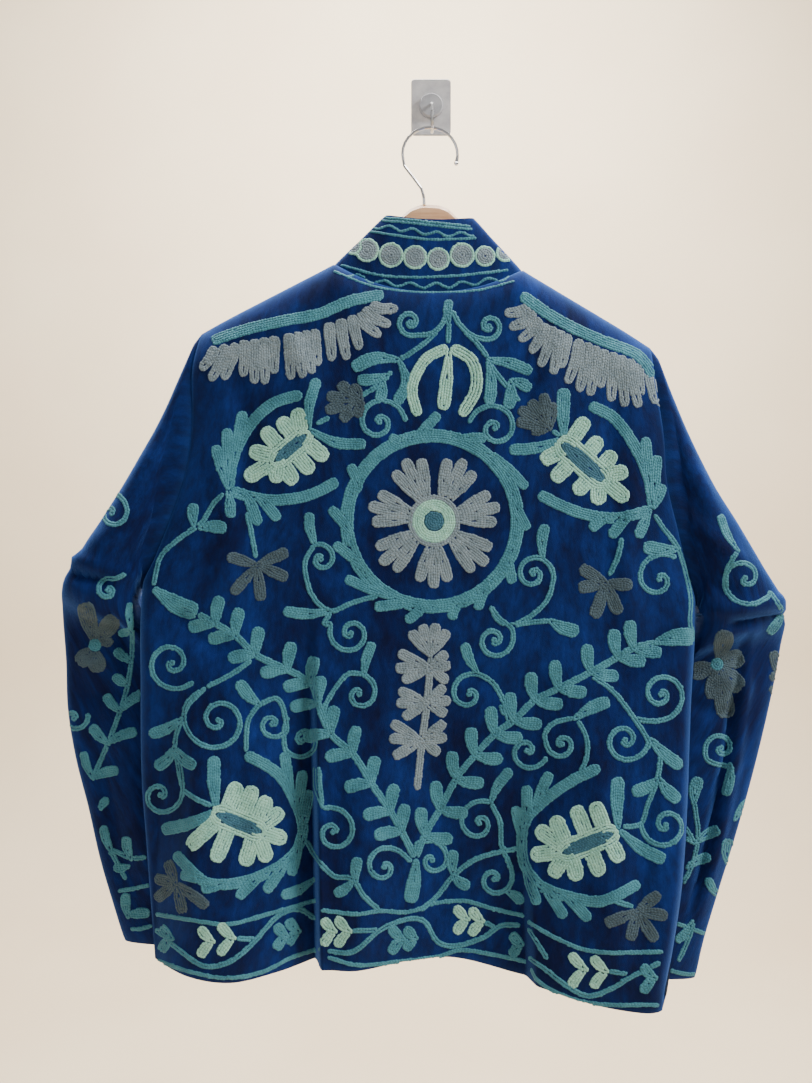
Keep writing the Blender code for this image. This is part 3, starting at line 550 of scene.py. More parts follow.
    def sleeve(self, back: np.ndarray, front: np.ndarray, rings: tuple,
               side: int) -> np.ndarray:
        """Middle surface of a sleeve.

        Args:
            back: The back's grid.
            front: The grid of the front on this side.
            rings: Sections of the sleeve down to the cuff.
            side: -1 on the left, 1 on the right.

        Returns:
            Closed rings of points, of which the first is the armhole.
        """
        last = self.armhole_rows * self.finer
        armhole = np.concatenate([back[:last + 1, 0 if side < 0 else -1],
                                  front[1:last, 0][::-1]])
        count = 2 * last
        angle = 2.0 * np.pi * np.arange(count) / count
        share = 0.5 - 0.5 * np.cos(angle)
        stations = []
        for i in range(1, len(rings)):
            drop = math.hypot(rings[i].outer_x - rings[i - 1].outer_x,
                              rings[i].outer_z - rings[i - 1].outer_z)
            parts = max(2, round(drop / self.sleeve_step))
            stations.extend(i - 1 + part / parts for part in range(parts))
        stations.append(len(rings) - 1)
        table = np.array(rings, float)
        keys = np.arange(len(rings))
        rows = []
        for station in stations:
            ring = Ring(*(float(curve_value(keys, table[:, k], station)) for k in range(8)))
            x = side * mix(ring.outer_x, ring.inner_x, share)
            z = mix(ring.outer_z, ring.inner_z, share)
            bulge = np.where(np.arange(count) <= last, -ring.to_room, ring.to_wall)
            round_part = np.abs(np.sin(angle)) ** self.sleeve_roundness
            y = mix(ring.outer_y, ring.inner_y, share) + bulge * round_part
            # under the armpit the sleeve tucks in behind the body's side
            outside = np.abs(x) - np.abs(self.side_x(z, side))
            below = smooth_rise((self.armpit_z + self.tuck_rise - z) / self.tuck_run)
            clear = smooth_rise((outside - self.tuck_edge) / self.tuck_edge_run)
            tucked = self.front_side_y + self.tuck_gap - self.tuck_depth * clear
            limit = mix(self.untucked_y, tucked, below)
            rows.append(np.stack([x, np.maximum(y, limit), z], -1))
        lead = [mix(armhole, rows[0], part / self.sleeve_lead)
                for part in range(self.sleeve_lead)]
        return np.stack(lead + rows)

    def collar(self, back: np.ndarray, fronts: tuple[np.ndarray, np.ndarray]) -> np.ndarray:
        """Middle surface of the stand collar, from front end to front end."""
        _, neck_left, neck_right = self.hem_places()
        width = back.shape[1]
        left = fronts[0][0, neck_left + 1:][::-1]
        right = fronts[1][0, width - neck_right:]
        seam = np.concatenate([left, back[0, neck_left:neck_right + 1], right])
        front = np.ones(len(seam), bool)
        front[len(left):len(seam) - len(right)] = False
        part = np.minimum(np.abs(seam[:, 0]) / self.neck_half, 1.0)
        round_part = np.maximum(0.0, 1.0 - part**2) ** self.neck_fullness
        corner = self.collar_top_z + self.collar_corner_rise
        front_z = mix(corner, self.collar_front_top_z, np.sqrt(np.maximum(0.0, 1.0 - part**2)))
        back_z = self.collar_top_z + self.collar_corner_rise * part**2
        top = np.stack([
            self.collar_top_half * seam[:, 0] / self.neck_half,
            self.hanger_y + np.where(front, 1, -1) * self.collar_half_depth * round_part,
            np.where(front, front_z, back_z)], 1)
        share = np.linspace(0.0, 1.0, self.collar_rows * self.finer + 1)[:, None, None]
        return mix(seam[None], top[None], share)


def crease_lift(x: np.ndarray, z: np.ndarray, creases: tuple) -> np.ndarray:
    """Height that soft creases add at some points.

    Args:
        x: Places across the piece.
        z: Levels of the same points.
        creases: The piece's creases.

    Returns:
        Lift in millimetres at each point.
    """
    lift = np.zeros_like(x)
    for crease in creases:
        line = np.array(crease.points, float)
        lengths = np.linalg.norm(np.diff(line, axis=0), axis=1)
        starts = run_length(line)
        nearest = np.full(x.shape, 1e9)
        along = np.zeros_like(x)
        for i, length in enumerate(lengths):
            step = (line[i + 1] - line[i]) / length
            t = (x - line[i, 0]) * step[0] + (z - line[i, 1]) * step[1]
            held = np.clip(t, 0.0, length)
            gap = np.hypot(x - line[i, 0] - held * step[0], z - line[i, 1] - held * step[1])
            closer = gap < nearest
            nearest = np.where(closer, gap, nearest)
            along = np.where(closer, starts[i] + held, along)
        part = along / starts[-1]
        fade = smooth_rise(part / CREASE_END) * smooth_rise((1.0 - part) / CREASE_END)
        spread = crease.width * (CREASE_START_WIDTH + CREASE_WIDENING * part)
        lift += crease.lift * fade * np.exp(-(nearest / spread) ** 2)
    return lift


def grid_normals(rows: np.ndarray, closed: bool, flip: int) -> np.ndarray:
    """Unit normals of a grid of points, out of the cloth's face.

    Args:
        rows: Points (row, column, xyz).
        closed: True where the last column meets the first.
        flip: 1 or -1, the side that faces out.

    Returns:
        A normal for each point.
    """
    down = np.gradient(rows, axis=0)
    if closed:
        over = 0.5 * (np.roll(rows, -1, axis=1) - np.roll(rows, 1, axis=1))
    else:
        over = np.gradient(rows, axis=1)
    return unit(np.cross(down, over)) * flip


class Thread(Enum):
    """Colours of the embroidery; slot() names the record's slot of each, the same for both teals.
    """
    TEAL = "thread_teal"
    DEEP = "thread_deep"
    GREY = "thread_grey"
    SLATE = "thread_slate"
    MINT = "thread_mint"

    def slot(self) -> str:
        """The record's slot of this colour."""
        return Thread.TEAL.value if self is Thread.DEEP else self.value


class Face(Enum):
    """Side of the jacket that a pattern is laid on."""
    ROOM = "room"
    WALL = "wall"


class Taper(Enum):
    """How a band of stitches ends."""
    ROUND = "round"
    LEAF = "leaf"
    CLUB = "club"
    HORN = "horn"


def even(value: float) -> tuple:
    """Colour with three equal parts."""
    return (value, value, value)


class Surface:
    """A material under work, with its nodes and its Principled shader."""

    def __init__(self, name: str) -> None:
        """Start a material.

        Args:
            name: Name of the material.
        """
        self.material = bpy.data.materials.new(name)
        self.material.use_nodes = True
        self.tree = self.material.node_tree

    def feed(self, node: bpy.types.Node, inputs: dict) -> None:
        """Set or link a node's inputs.

        Args:
            node: The node.
            inputs: A value or another node's output for each input.
        """
        for key, value in inputs.items():
            if isinstance(value, bpy.types.NodeSocket):
                self.tree.links.new(value, node.inputs[key])
            else:
                node.inputs[key].default_value = value

    def node(self, kind: str, inputs: dict) -> bpy.types.Node:
        """Add a node.

        Args:
            kind: Blender's name of its type, without ShaderNode.
            inputs: A value or another node's output for each input.

        Returns:
            The node.
        """
        node = self.tree.nodes.new("ShaderNode" + kind)
        self.feed(node, inputs)
        return node

    def place(self, kind: str) -> bpy.types.NodeSocket:
        """Texture coordinates of one kind."""
        return self.node("TexCoord", {}).outputs[kind]

    def stretched(self, place: bpy.types.NodeSocket, scale: tuple) -> bpy.types.NodeSocket:
        """Coordinates scaled along each axis."""
        return self.node("Mapping", {"Vector": place, "Scale": scale}).outputs["Vector"]

    def noise(self, place: bpy.types.NodeSocket, scale: float, detail: float,
              rough: float) -> bpy.types.NodeSocket:
        """Factor of a noise texture.

        Args:
            place: Coordinates to read.
            scale: Scale of the noise.
            detail: Octaves of the noise.
            rough: Strength of the finer octaves.

        Returns:
            The noise's factor.
        """
        return self.node("TexNoise", {"Vector": place, "Scale": scale, "Detail": detail,
                                      "Roughness": rough}).outputs["Fac"]

    def wave(self, direction: str, inputs: dict) -> bpy.types.Node:
        """Add a wave texture whose bands cross one direction."""
        node = self.node("TexWave", inputs)
        node.bands_direction = direction
        return node

    def ramp(self, factor: bpy.types.NodeSocket, low: float, first: tuple, high: float,
             second: tuple) -> bpy.types.NodeSocket:
        """Colour that runs from first to second as a factor goes from low to high.

        Args:
            factor: Value that the ramp reads.
            low: Factor at which the first colour ends.
            first: The first colour.
            high: Factor at which the second colour begins.
            second: The second colour.

        Returns:
            The ramp's colour.
        """
        node = self.node("ValToRGB", {"Fac": factor})
        stops = ((low, first), (high, second))
        for element, (place, colour) in zip(node.color_ramp.elements, stops):
            element.position = place
            element.color = (*colour, 1.0)
        return node.outputs["Color"]

    def mixed(self, factor: bpy.types.NodeSocket | float, first: bpy.types.NodeSocket,
              second: bpy.types.NodeSocket | tuple, blend: str = "MIX") -> bpy.types.NodeSocket:
        """Mix two colours.

        Args:
            factor: Share of the second colour.
            first: The first colour.
            second: The second colour.
            blend: Blender's name of the blend.

        Returns:
            The mixed colour.
        """
        node = self.node("Mix", {})
        node.data_type = "RGBA"
        node.blend_type = blend
        colour = (*second, 1.0) if isinstance(second, tuple) else second
        self.feed(node, {0: factor, 6: first, 7: colour})
        return node.outputs[2]

    def bump(self, height: bpy.types.NodeSocket, strength: float, distance: float,
             over: bpy.types.NodeSocket | None = None) -> bpy.types.NodeSocket:
        """Normal of a bumped surface.

        Args:
            height: Height to read.
            strength: Strength of the bump.
            distance: Height of the bump in metres.
            over: The normal that the bump is laid over.

        Returns:
            The bumped normal.
        """
        inputs = {"Height": height, "Strength": strength, "Distance": distance}
        if over is not None:
            inputs["Normal"] = over
        return self.node("Bump", inputs).outputs["Normal"]


class Finish:
    """A look, given as the inputs of its Principled shader."""

    def build(self, name: str) -> bpy.types.Material:
        """Make the look's material.

        Args:
            name: Name of the material.

        Returns:
            The material.
        """
        work = Surface(name)
        work.feed(work.tree.nodes["Principled BSDF"], self.inputs(work))
        return work.material

    def inputs(self, work: Surface) -> dict:
        """A value or a node's output for each input that the look sets."""
        raise NotImplementedError


@dataclass(frozen=True)
class VelvetFinish(Finish):
    """Cotton velvet with a short pile that lies unevenly, and painted sheen that pales it towards
    its edges and at grazing angles.
    """
    deep: tuple = (0.0013, 0.0054, 0.046)
    brushed: tuple = (0.0056, 0.0225, 0.142)
    # paler blue of the painted sheen near the pieces' edges
    edge_sheen: tuple = (0.012, 0.046, 0.18)
    # pale blue of the painted sheen where the cloth is seen at a grazing angle
    grazing_sheen: tuple = (0.016, 0.064, 0.25)
    sheen: tuple = (0.14, 0.34, 0.92, 1.0)
    combed: tuple = (1.0, 0.45, 1.0)

    def inputs(self, work: Surface) -> dict:
        """Velvet's inputs."""
        place = work.place("UV")
        combed = work.stretched(place, self.combed)
        marks = work.noise(combed, scale=15.0, detail=6.0, rough=0.66)
        crush = work.noise(combed, scale=95.0, detail=5.0, rough=0.7)
        pile = work.noise(place, scale=1500.0, detail=2.0, rough=0.7)
        colour = work.ramp(marks, 0.40, self.deep, 0.68, self.brushed)
        flecks = work.ramp(crush, 0.36, even(0.62), 0.68, even(1.6))
        colour = work.mixed(0.8, colour, flecks, "MULTIPLY")
        # painted sheen: the velvet is mixed towards a paler blue near each edge, as light catching
        # the pile
        edge = work.node("Attribute", {})
        edge.attribute_name = "edge"
        colour = work.mixed(edge.outputs["Fac"], colour, self.edge_sheen)
        # painted sheen: the base colour turns to a pale blue where the cloth is seen at a grazing
        # angle
        facing = work.node("LayerWeight", {"Blend": 0.42})
        turned = work.ramp(facing.outputs["Facing"], 0.2, even(0.0), 0.95, even(1.0))
        crushed = work.bump(crush, strength=0.5, distance=0.0012)
        return {
            "Base Color": work.mixed(turned, colour, self.grazing_sheen),
            "Roughness": 0.9, "Specular IOR Level": 0.15, "Sheen Weight": 0.62,
            "Sheen Roughness": 0.33, "Sheen Tint": self.sheen,
            "Normal": work.bump(pile, strength=0.5, distance=0.0005, over=crushed)}


@dataclass(frozen=True)
class BackingFinish(Finish):
    """Plain woven cotton on the inside of the velvet."""
    light: tuple = (0.020, 0.050, 0.12)
    dark: tuple = (0.007, 0.018, 0.05)
    threads: float = 420.0

    def inputs(self, work: Surface) -> dict:
        """Backing's inputs."""
        inputs = {"Vector": work.place("UV"), "Scale": self.threads, "Distortion": 0.4}
        warp, weft = (work.wave(way, inputs).outputs["Color"] for way in ("X", "Y"))
        weave = work.mixed(1.0, warp, weft, "MULTIPLY")
        return {"Base Color": work.ramp(weave, 0.1, self.dark, 0.8, self.light),
                "Roughness": 0.92, "Normal": work.bump(weave, strength=0.6, distance=0.0003)}


@dataclass(frozen=True)
class ThreadFinish(Finish):
    """Mercerised cotton thread: soft gloss, twisted strands with painted shade in their grooves,
    and uneven dye.
    """
    colour: tuple
    shade: tuple

    def inputs(self, work: Surface) -> dict:
        """Thread's inputs."""
        dye = work.noise(work.place("Object"), scale=90.0, detail=3.0, rough=0.6)
        twist = work.wave("DIAGONAL", {"Vector": work.place("UV"), "Scale": 420.0,
                                       "Distortion": 1.5, "Detail": 1.0}).outputs["Fac"]
        colour = work.ramp(dye, 0.3, self.shade, 0.62, self.colour)
        # painted shade: the colour is darkened in the grooves between the twisted strands
        strand_groove_shade = work.ramp(twist, 0.0, even(0.66), 0.55, even(1.0))
        return {
            "Base Color": work.mixed(1.0, colour, strand_groove_shade, "MULTIPLY"), "Roughness": 0.65,
            "Specular IOR Level": 0.25, "Sheen Weight": 0.06, "Sheen Roughness": 0.5,
            "Normal": work.bump(twist, strength=0.5, distance=0.0002)}


@dataclass(frozen=True)
class WoodFinish(Finish):
    """Lacquered pale wood of the hanger, with its grain along the arms."""
    pale: tuple = (0.74, 0.45, 0.255)
    dark: tuple = (0.54, 0.285, 0.14)
    along_arms: tuple = (7.0, 60.0, 90.0)

    def inputs(self, work: Surface) -> dict:
        """Wood's inputs."""
        place = work.stretched(work.place("Object"), self.along_arms)
        grain = work.noise(place, scale=2.2, detail=6.0, rough=0.65)
        return {"Base Color": work.ramp(grain, 0.35, self.dark, 0.6, self.pale),
                "Roughness": 0.38, "Coat Weight": 0.35, "Coat Roughness": 0.2,
                "Normal": work.bump(grain, strength=0.25, distance=0.0006)}


@dataclass(frozen=True)
class MetalFinish(Finish):
    """Plated wire with faint drawing marks and uneven polish."""
    colour: tuple
    roughness: float
    dulling: float = 0.78
    scuffing: float = 0.12

    def inputs(self, work: Surface) -> dict:
        """Metal's inputs."""
        marks = work.noise(work.place("Object"), scale=260.0, detail=4.0, rough=0.6)
        dull = tuple(self.dulling * part for part in self.colour)
        scuffed = even(self.roughness + self.scuffing)
        return {"Base Color": work.ramp(marks, 0.3, dull, 0.65, self.colour),
                "Roughness": work.ramp(marks, 0.3, scuffed, 0.7,
                                       even(self.roughness)),
                "Metallic": 1.0, "Normal": work.bump(marks, strength=0.08, distance=0.0002)}


@dataclass(frozen=True)
class ClearPlasticFinish(Finish):
    """Clear moulded plastic over a grey adhesive pad."""
    light: tuple = (0.62, 0.63, 0.67)
    dark: tuple = (0.46, 0.47, 0.52)

    def inputs(self, work: Surface) -> dict:
        """Plastic's inputs."""
        place = work.place("Object")
        clouds = work.noise(place, scale=70.0, detail=4.0, rough=0.6)
        specks = work.noise(place, scale=900.0, detail=2.0, rough=0.6)
        return {"Base Color": work.ramp(clouds, 0.35, self.dark, 0.65, self.light),
                "Roughness": 0.22, "Coat Weight": 0.8, "Coat Roughness": 0.06,
                "Transmission Weight": 0.25, "IOR": 1.48,
                "Normal": work.bump(specks, strength=0.12, distance=0.0002)}


@dataclass(frozen=True)
class PlasterFinish(Finish):
    """Smooth pale wall paint."""
    light: tuple = (0.87, 0.735, 0.535)
    dark: tuple = (0.83, 0.69, 0.495)

    def inputs(self, work: Surface) -> dict:
        """Paint's inputs."""
        clouds = work.noise(work.place("Object"), scale=1.6, detail=4.0, rough=0.5)
        return {"Base Color": work.ramp(clouds, 0.35, self.dark, 0.65, self.light),
                "Roughness": 0.9}


@dataclass
class ClothPiece:
    """One sewn piece of the jacket: a thin shell on its grid.

    Attributes:
        node: CAD node that the piece stands for.
        rows: Middle surface, row by row.
        closed: True for a sleeve, whose last column meets its first.
        flip: Side that faces out.
        creases: Soft creases on the side towards the room, or both sides.
        flat: Width and length of the cut, in metres; not used.
        area: Area of the cut, in square metres; not used.
        rests_on: What the piece hangs from; not used.
    """
    node: str
    rows: np.ndarray
    closed: bool
    flip: int
    creases: tuple
    flat: tuple
    area: float
    rests_on: tuple
    wall: float = 2.0
    seam_gap: float = 0.3
    seam_dip: float = 0.7
    seam_dip_width: float = 5.0
    smooth_edge: float = 26.0
    # strength and reach of the painted sheen that pales the velvet near each edge, narrow and
    # broad
    edge_sheen: float = 0.22
    edge_sheen_width: float = 3.5
    broad_edge_sheen: float = 0.08
    broad_edge_sheen_width: float = 22.0
    sharpest: float = math.radians(50)
    outer: np.ndarray = field(default=None)
    normals: np.ndarray = field(default=None)

    def from_edge(self) -> np.ndarray:
        """Distance of each point from the nearest sewn or cut edge."""
        top = run_length(self.rows)
        nearest = np.minimum(top, top[-1:] - top)
        if not self.closed:
            left = run_length(self.rows, 1)
            nearest = np.minimum(nearest, np.minimum(left, left[:, -1:] - left))
        return nearest

    def settle(self) -> None:
        """Lay the creases into the middle surface and find its outer face."""
        nearest = self.from_edge()
        normals = grid_normals(self.rows, self.closed, self.flip)
        x = self.rows[..., 0] if self.node != "left_sleeve" else -self.rows[..., 0]
        lift = crease_lift(x, self.rows[..., 2], self.creases)
        lift *= smooth_rise(nearest / self.smooth_edge)
        lift -= self.seam_dip * np.exp(-nearest / self.seam_dip_width)
        rows = self.rows + normals * lift[..., None]
        half = 0.5 * self.seam_gap
        rows[0] += unit(rows[1] - rows[0]) * half
        rows[-1] += unit(rows[-2] - rows[-1]) * half
        if not self.closed:
            rows[:, 0] += unit(rows[:, 1] - rows[:, 0]) * half
            rows[:, -1] += unit(rows[:, -2] - rows[:, -1]) * half
        self.normals = grid_normals(rows, self.closed, self.flip)
        self.rows = rows
        self.outer = rows + self.normals * 0.5 * self.wall

    def quads(self, base: int, turned: bool) -> list[tuple]:
        """Faces of one layer of the shell.

        Args:
            base: Index of the layer's first vertex.
            turned: True to face the other way.

        Returns:
            Four corners for each face.
        """
        row_count, column_count = self.rows.shape[:2]
        last = column_count if self.closed else column_count - 1
        r, c = np.meshgrid(np.arange(row_count - 1), np.arange(last), indexing="ij")
        after = (c + 1) % column_count
        corners = [r * column_count + c, (r + 1) * column_count + c,
                   (r + 1) * column_count + after, r * column_count + after]
        if turned:
            corners = corners[::-1]
        return (base + np.stack(corners, -1).reshape(-1, 4)).tolist()

    def rim(self) -> list[tuple]:
        """Faces that join the two layers round the piece's edges."""
        row_count, column_count = self.rows.shape[:2]
        total = row_count * column_count
        span = column_count if self.closed else column_count - 1
        edges = [(c, (c + 1) % column_count) for c in range(span)]
        low = (row_count - 1) * column_count
        edges += [(low + (c + 1) % column_count, low + c) for c in range(span)]
        if not self.closed:
            edges += [((r + 1) * column_count, r * column_count)
                      for r in range(row_count - 1)]
            edges += [(r * column_count + column_count - 1,
                       (r + 1) * column_count + column_count - 1)
                      for r in range(row_count - 1)]
        faces = [(a, b, total + b, total + a) for a, b in edges]
        return faces if self.flip > 0 else [face[::-1] for face in faces]

    def build(self, cut: GarmentCut, finishes: dict) -> bpy.types.Object:
        """Args:
            cut: The garment's cut, which hangs the piece.
            finishes: Materials by name.

        Returns:
            The finished object.
        """
        inner = self.rows - self.normals * 0.5 * self.wall
        points = np.concatenate([self.outer.reshape(-1, 3), inner.reshape(-1, 3)])
        total = self.outer.shape[0] * self.outer.shape[1]
        outside = self.quads(0, self.flip < 0)
        inside = self.quads(total, self.flip > 0)
        faces = outside + inside + self.rim()
        mesh = bpy.data.meshes.new(self.node + "_cloth")
        mesh.from_pydata((cut.hang(points) * MM).tolist(), [], faces)
        across = run_length(self.rows, 1)
        flat = np.stack([across - across.mean(axis=1, keepdims=True),
                         -run_length(self.rows)], -1)
        lay_uv(mesh, "cloth", np.concatenate([flat.reshape(-1, 2)] * 2))
        # painted sheen: share by which the velvet is paled near each edge, as light catching the
        # pile
        edge = mesh.attributes.new("edge", "FLOAT", "POINT")
        nearest = self.from_edge().ravel()
        edge_sheen_share = (self.edge_sheen * np.exp(-nearest / self.edge_sheen_width)
                 + self.broad_edge_sheen * np.exp(-nearest / self.broad_edge_sheen_width))
        edge.data.foreach_set("value", np.concatenate([edge_sheen_share, edge_sheen_share]).astype(np.float32))
        for layer in ("velvet", "backing"):
            mesh.materials.append(finishes[layer])
        index = np.zeros(len(faces), np.int32)
        index[len(outside):len(outside) + len(inside)] = 1
        mesh.polygons.foreach_set("material_index", index)
        mesh.shade_smooth()
        mesh.set_sharp_from_angle(angle=self.sharpest)
        piece = put_in_scene(self.node + "_cloth", mesh)
        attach(piece, BODY)
        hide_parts(self.node)
        area = 0.5 * sum(face.area for face in mesh.polygons)
        LOG.info("%s: %d faces, %.4f square metres", piece.name, len(faces), area)
        return piece


@dataclass
class Pattern:
    """Rows of chain stitch on a flat pattern sheet, in millimetres.

    The sheet has u to the right and v down. It is the maker's drawing of the whole pattern.

    Attributes:
        row_gap, loose_gap: Distance between rows, and that of the mint thread.
        size, cell: Edge length of the sheet, and of the cells that mark where a shape lies.
        reach, overlap: How far a row covers the sheet, and the cells by which shapes overlap.
        step: Length of a line's steps.
        root_overlap: How far a leaf starts inside what it grows from.
        curl_step, curl_end, curl_power: Angle of a tendril's steps, the radius where it ends
            and how it winds in.
        curl_eye: Radius of the eye in a tendril.
        ring_points: Points of a ring for each millimetre of its radius.
        twig_look, twig_run, twig_lean: Steps of an arc that show its direction, steps that a
            twig runs along it, and where the twig starts to leave it.
        rows, shape: The rows laid so far, and the number of the last shape.
    """
    row_gap: float = 2.2
    loose_gap: float = 2.9
    cell: float = 0.5
    reach: float = 1.9
    overlap: int = 3
    size: float = 1200.0
    step: float = 1.4
    root_overlap: float = 2.0
    curl_step: float = 26
    curl_end: float = 1.6
    curl_power: float = 0.85
    curl_eye: float = 3.3
    ring_points: float = 4.4
    twig_look: int = 4
    twig_run: int = 11
    twig_lean: float = 0.75
    rows: list = field(default_factory=list)
    shape: int = 0

    def trimmed(self) -> list:
        """Leave out the parts of rows that would lie on an earlier shape.

        Returns:
            (thread, points) rows.
        """
        cells = int(self.size / self.cell)
        taken = np.zeros((cells, cells), bool)
        span = np.arange(-int(self.reach / self.cell), int(self.reach / self.cell) + 1)
        spot = np.array([(i, j) for i in span for j in span
                         if math.hypot(i, j) * self.cell <= self.reach])
        kept, marks, number = [], [], 0
        for thread, line, shape in self.rows:
            if shape != number:
                for at in marks:
                    taken[at[:, 0], at[:, 1]] = True
                marks, number = [], shape
            at = np.clip(np.rint(line / self.cell).astype(int), 4, cells - 5)
            covered = taken[at[:, 0], at[:, 1]]
            for i, j in ((1, 0), (-1, 0), (0, 1), (0, -1)):
                covered &= taken[at[:, 0] + i * self.overlap, at[:, 1] + j * self.overlap]
            free = ~covered
            cuts = np.flatnonzero(np.diff(free.astype(int))) + 1
            for part, use in zip(np.split(line, cuts), np.split(free, cuts)):
                if use[0] and len(part) > 2:
                    kept.append((thread, part))
            marks.append((at[free][:, None] + spot[None]).reshape(-1, 2))
        return kept

    def path(self, points: tuple) -> np.ndarray:
        """Smooth line through some points (u, v), as points along it."""
        line = np.array(points, float)
        along = run_length(line, least=1e-3)
        at = np.linspace(0.0, along[-1], max(int(along[-1] / self.step), 4) + 1)
        return np.stack([curve_value(along, line[:, 0], at),
                         curve_value(along, line[:, 1], at)], 1)

    def profile(self, taper: Taper, along: np.ndarray, width: float) -> np.ndarray:
        """Half width of a shape along its length.

        Args:
            taper: How the shape narrows.
            along: Distance from the start, for each point.
            width: Greatest width.

        Returns:
            Half width at each point.
        """
        length = along[-1]
        part = along / length
        half = 0.5 * width
        near = np.minimum(along, length - along)
        rounded = np.sqrt(np.maximum(0.0, 1.0 - (1.0 - np.clip(near / half, 0, 1)) ** 2))
        if taper is Taper.LEAF:
            return half * np.sin(np.pi * part) ** 0.5
        if taper is Taper.CLUB:
            blunt = np.where(part < 0.5, np.maximum(rounded, 0.8), rounded)
            return half * blunt * mix(0.5, 1.0, smooth_rise(part / 0.6))
        if taper is Taper.HORN:
            return half * mix(1.0, 0.7, part) * rounded
        return half * rounded

    def band(self, thread: Thread, points: tuple, width: float,
             taper: Taper = Taper.ROUND) -> None:
        """Fill a shape with closed rows, one inside the other, as it is worked by hand.

        Args:
            thread: Colour.
            points: Points (u, v) of the shape's middle line.
            width: Greatest width.
            taper: How the shape narrows.
        """
        self.shape += 1
        line = self.path(points)
        if width < 1.5 * self.row_gap:
            self.rows.append((thread, line, self.shape))
            return
        step = np.gradient(line, axis=0)
        square = unit(np.stack([-step[:, 1], step[:, 0]], 1))
        along = run_length(line)
        half = self.profile(taper, along, width)
        wanted = self.loose_gap if thread is Thread.MINT else self.row_gap
        count = max(2, round(width / wanted))
        gap = width / count
        for layer in range((count + 1) // 2):
            room = half - (layer + 0.5) * gap
            at = np.flatnonzero(room > -0.15 * gap)
            if len(at) < 3:
                return
            inside = slice(at[0], at[-1] + 1)
            if 2 * layer + 1 == count:
                self.rows.append((thread, line[inside], self.shape))
                return
            reach = np.maximum(room[inside], 0.0)[:, None] * square[inside]
            loop = np.concatenate([line[inside] + reach, (line[inside] - reach)[::-1]])
            self.rows.append((thread, np.concatenate([loop, loop[:1]]), self.shape))

    def bands(self, thread: Thread, lines: tuple, width: float) -> None:
        """One band along each line."""
        for points in lines:
            self.band(thread, points, width)

    def leaf(self, thread: Thread, root: tuple, tip: tuple, width: float,
             bend: float = 0.06) -> None:
        """Club-shaped leaf from its root to its round tip, bent to one side."""
        root, tip = np.array(root, float), np.array(tip, float)
        root -= unit(tip - root) * self.root_overlap
        side = np.array([tip[1] - root[1], root[0] - tip[0]])
        middle = 0.5 * (root + tip) + bend * side
        self.band(thread, (root, middle, tip), width, Taper.CLUB)

    def curl(self, thread: Thread, centre: tuple, start: float, sweep: float,
             radius: float, tail: tuple = (), width: float = 5.2) -> None:
        """Tendril that winds in to its centre and ends in an eye.

        Args:
            thread: Colour.
            centre: Centre (u, v).
            start: Angle where it starts, in degrees from right, clockwise.
            sweep: Angle through which it winds, clockwise where above 0.
            radius: Distance from the centre where it starts.
            tail: Points that lead up to it.
            width: Width of the tendril.
        """
        steps = max(4, int(abs(sweep) / self.curl_step))
        points = list(tail)
        for i in range(steps + 1):
            angle = math.radians(start + sweep * i / steps)
            reach = mix(radius, self.curl_end, (i / steps) ** self.curl_power)
            points.append((centre[0] + reach * math.cos(angle),
                           centre[1] + reach * math.sin(angle)))
        self.disc(thread, centre, self.curl_eye)
        self.band(thread, tuple(points), width)

    def disc(self, thread: Thread, centre: tuple, radius: float, hole: float = 0.0) -> None:
        """Round spot, or a ring where it has a hole, filled by rings of stitches."""
        self.shape += 1
        reach = radius - 0.5 * self.row_gap
        while reach > max(hole, 0.5):
            turn = np.linspace(0.0, 2.0 * np.pi, max(8, int(reach * self.ring_points)))
            ring = np.stack([centre[0] + reach * np.cos(turn),
                             centre[1] + reach * np.sin(turn)], 1)
            self.rows.append((thread, ring, self.shape))
            reach -= self.row_gap

    def petals(self, thread: Thread, centre: tuple, tips: tuple, width: float,
               start: float = 0.0) -> None:
        """Round-tipped petals from a heart to each tip.

        Args:
            thread: Colour.
            centre: Heart (u, v).
            tips: Tip of each petal.
            width: Width of a petal.
            start: Distance from the heart at which a petal starts.
        """
        heart = np.array(centre, float)
        for tip in tips:
            away = unit(np.array(tip, float) - heart)
            self.leaf(thread, tuple(heart + start * away), tip, width, 0.0)

    def twigs(self, thread: Thread, pairs: tuple, arcs: list, width: float) -> None:
        """Round-tipped twigs that run along an arc before they leave it.

        Args:
            thread: Colour.
            pairs: (root, tip) of each twig.
            arcs: Paths of the arcs that they leave.
            width: Width of a twig.
        """
        for root, tip in pairs:
            root, tip = np.array(root, float), np.array(tip, float)
            arc = min(arcs, key=lambda path: np.linalg.norm(path - root, axis=1).min())
            at = int(np.linalg.norm(arc - root, axis=1).argmin())
            last = len(arc) - 1
            along = arc[min(at + self.twig_look, last)] - arc[max(at - self.twig_look, 0)]
            back = at - int(math.copysign(self.twig_run, along @ (tip - root)))
            before = arc[min(max(back, 0), last)]
            leaving = mix(before, root, self.twig_lean)
            self.band(thread, (before, leaving, tip), width, Taper.CLUB)

    def wave(self, thread: Thread, line: tuple, height: float, length: float) -> None:
        """Wavy row along a line.

        Args:
            thread: Colour.
            line: Points (u, v) of its middle.
            height: Height from trough to crest.
            length: Length of one wave.
        """
        self.shape += 1
        path = self.path(line)
        step = np.gradient(path, axis=0)
        square = unit(np.stack([-step[:, 1], step[:, 0]], 1))
        along = run_length(path)
        sway = 0.5 * height * np.sin(2.0 * np.pi * along / length)
        self.rows.append((thread, path + square * sway[:, None], self.shape))


class LeafSpot(NamedTuple):
    """Leaf of the pattern: root, tip, width and bend."""
    root: tuple
    tip: tuple
    width: float
    bend: float = 0.06


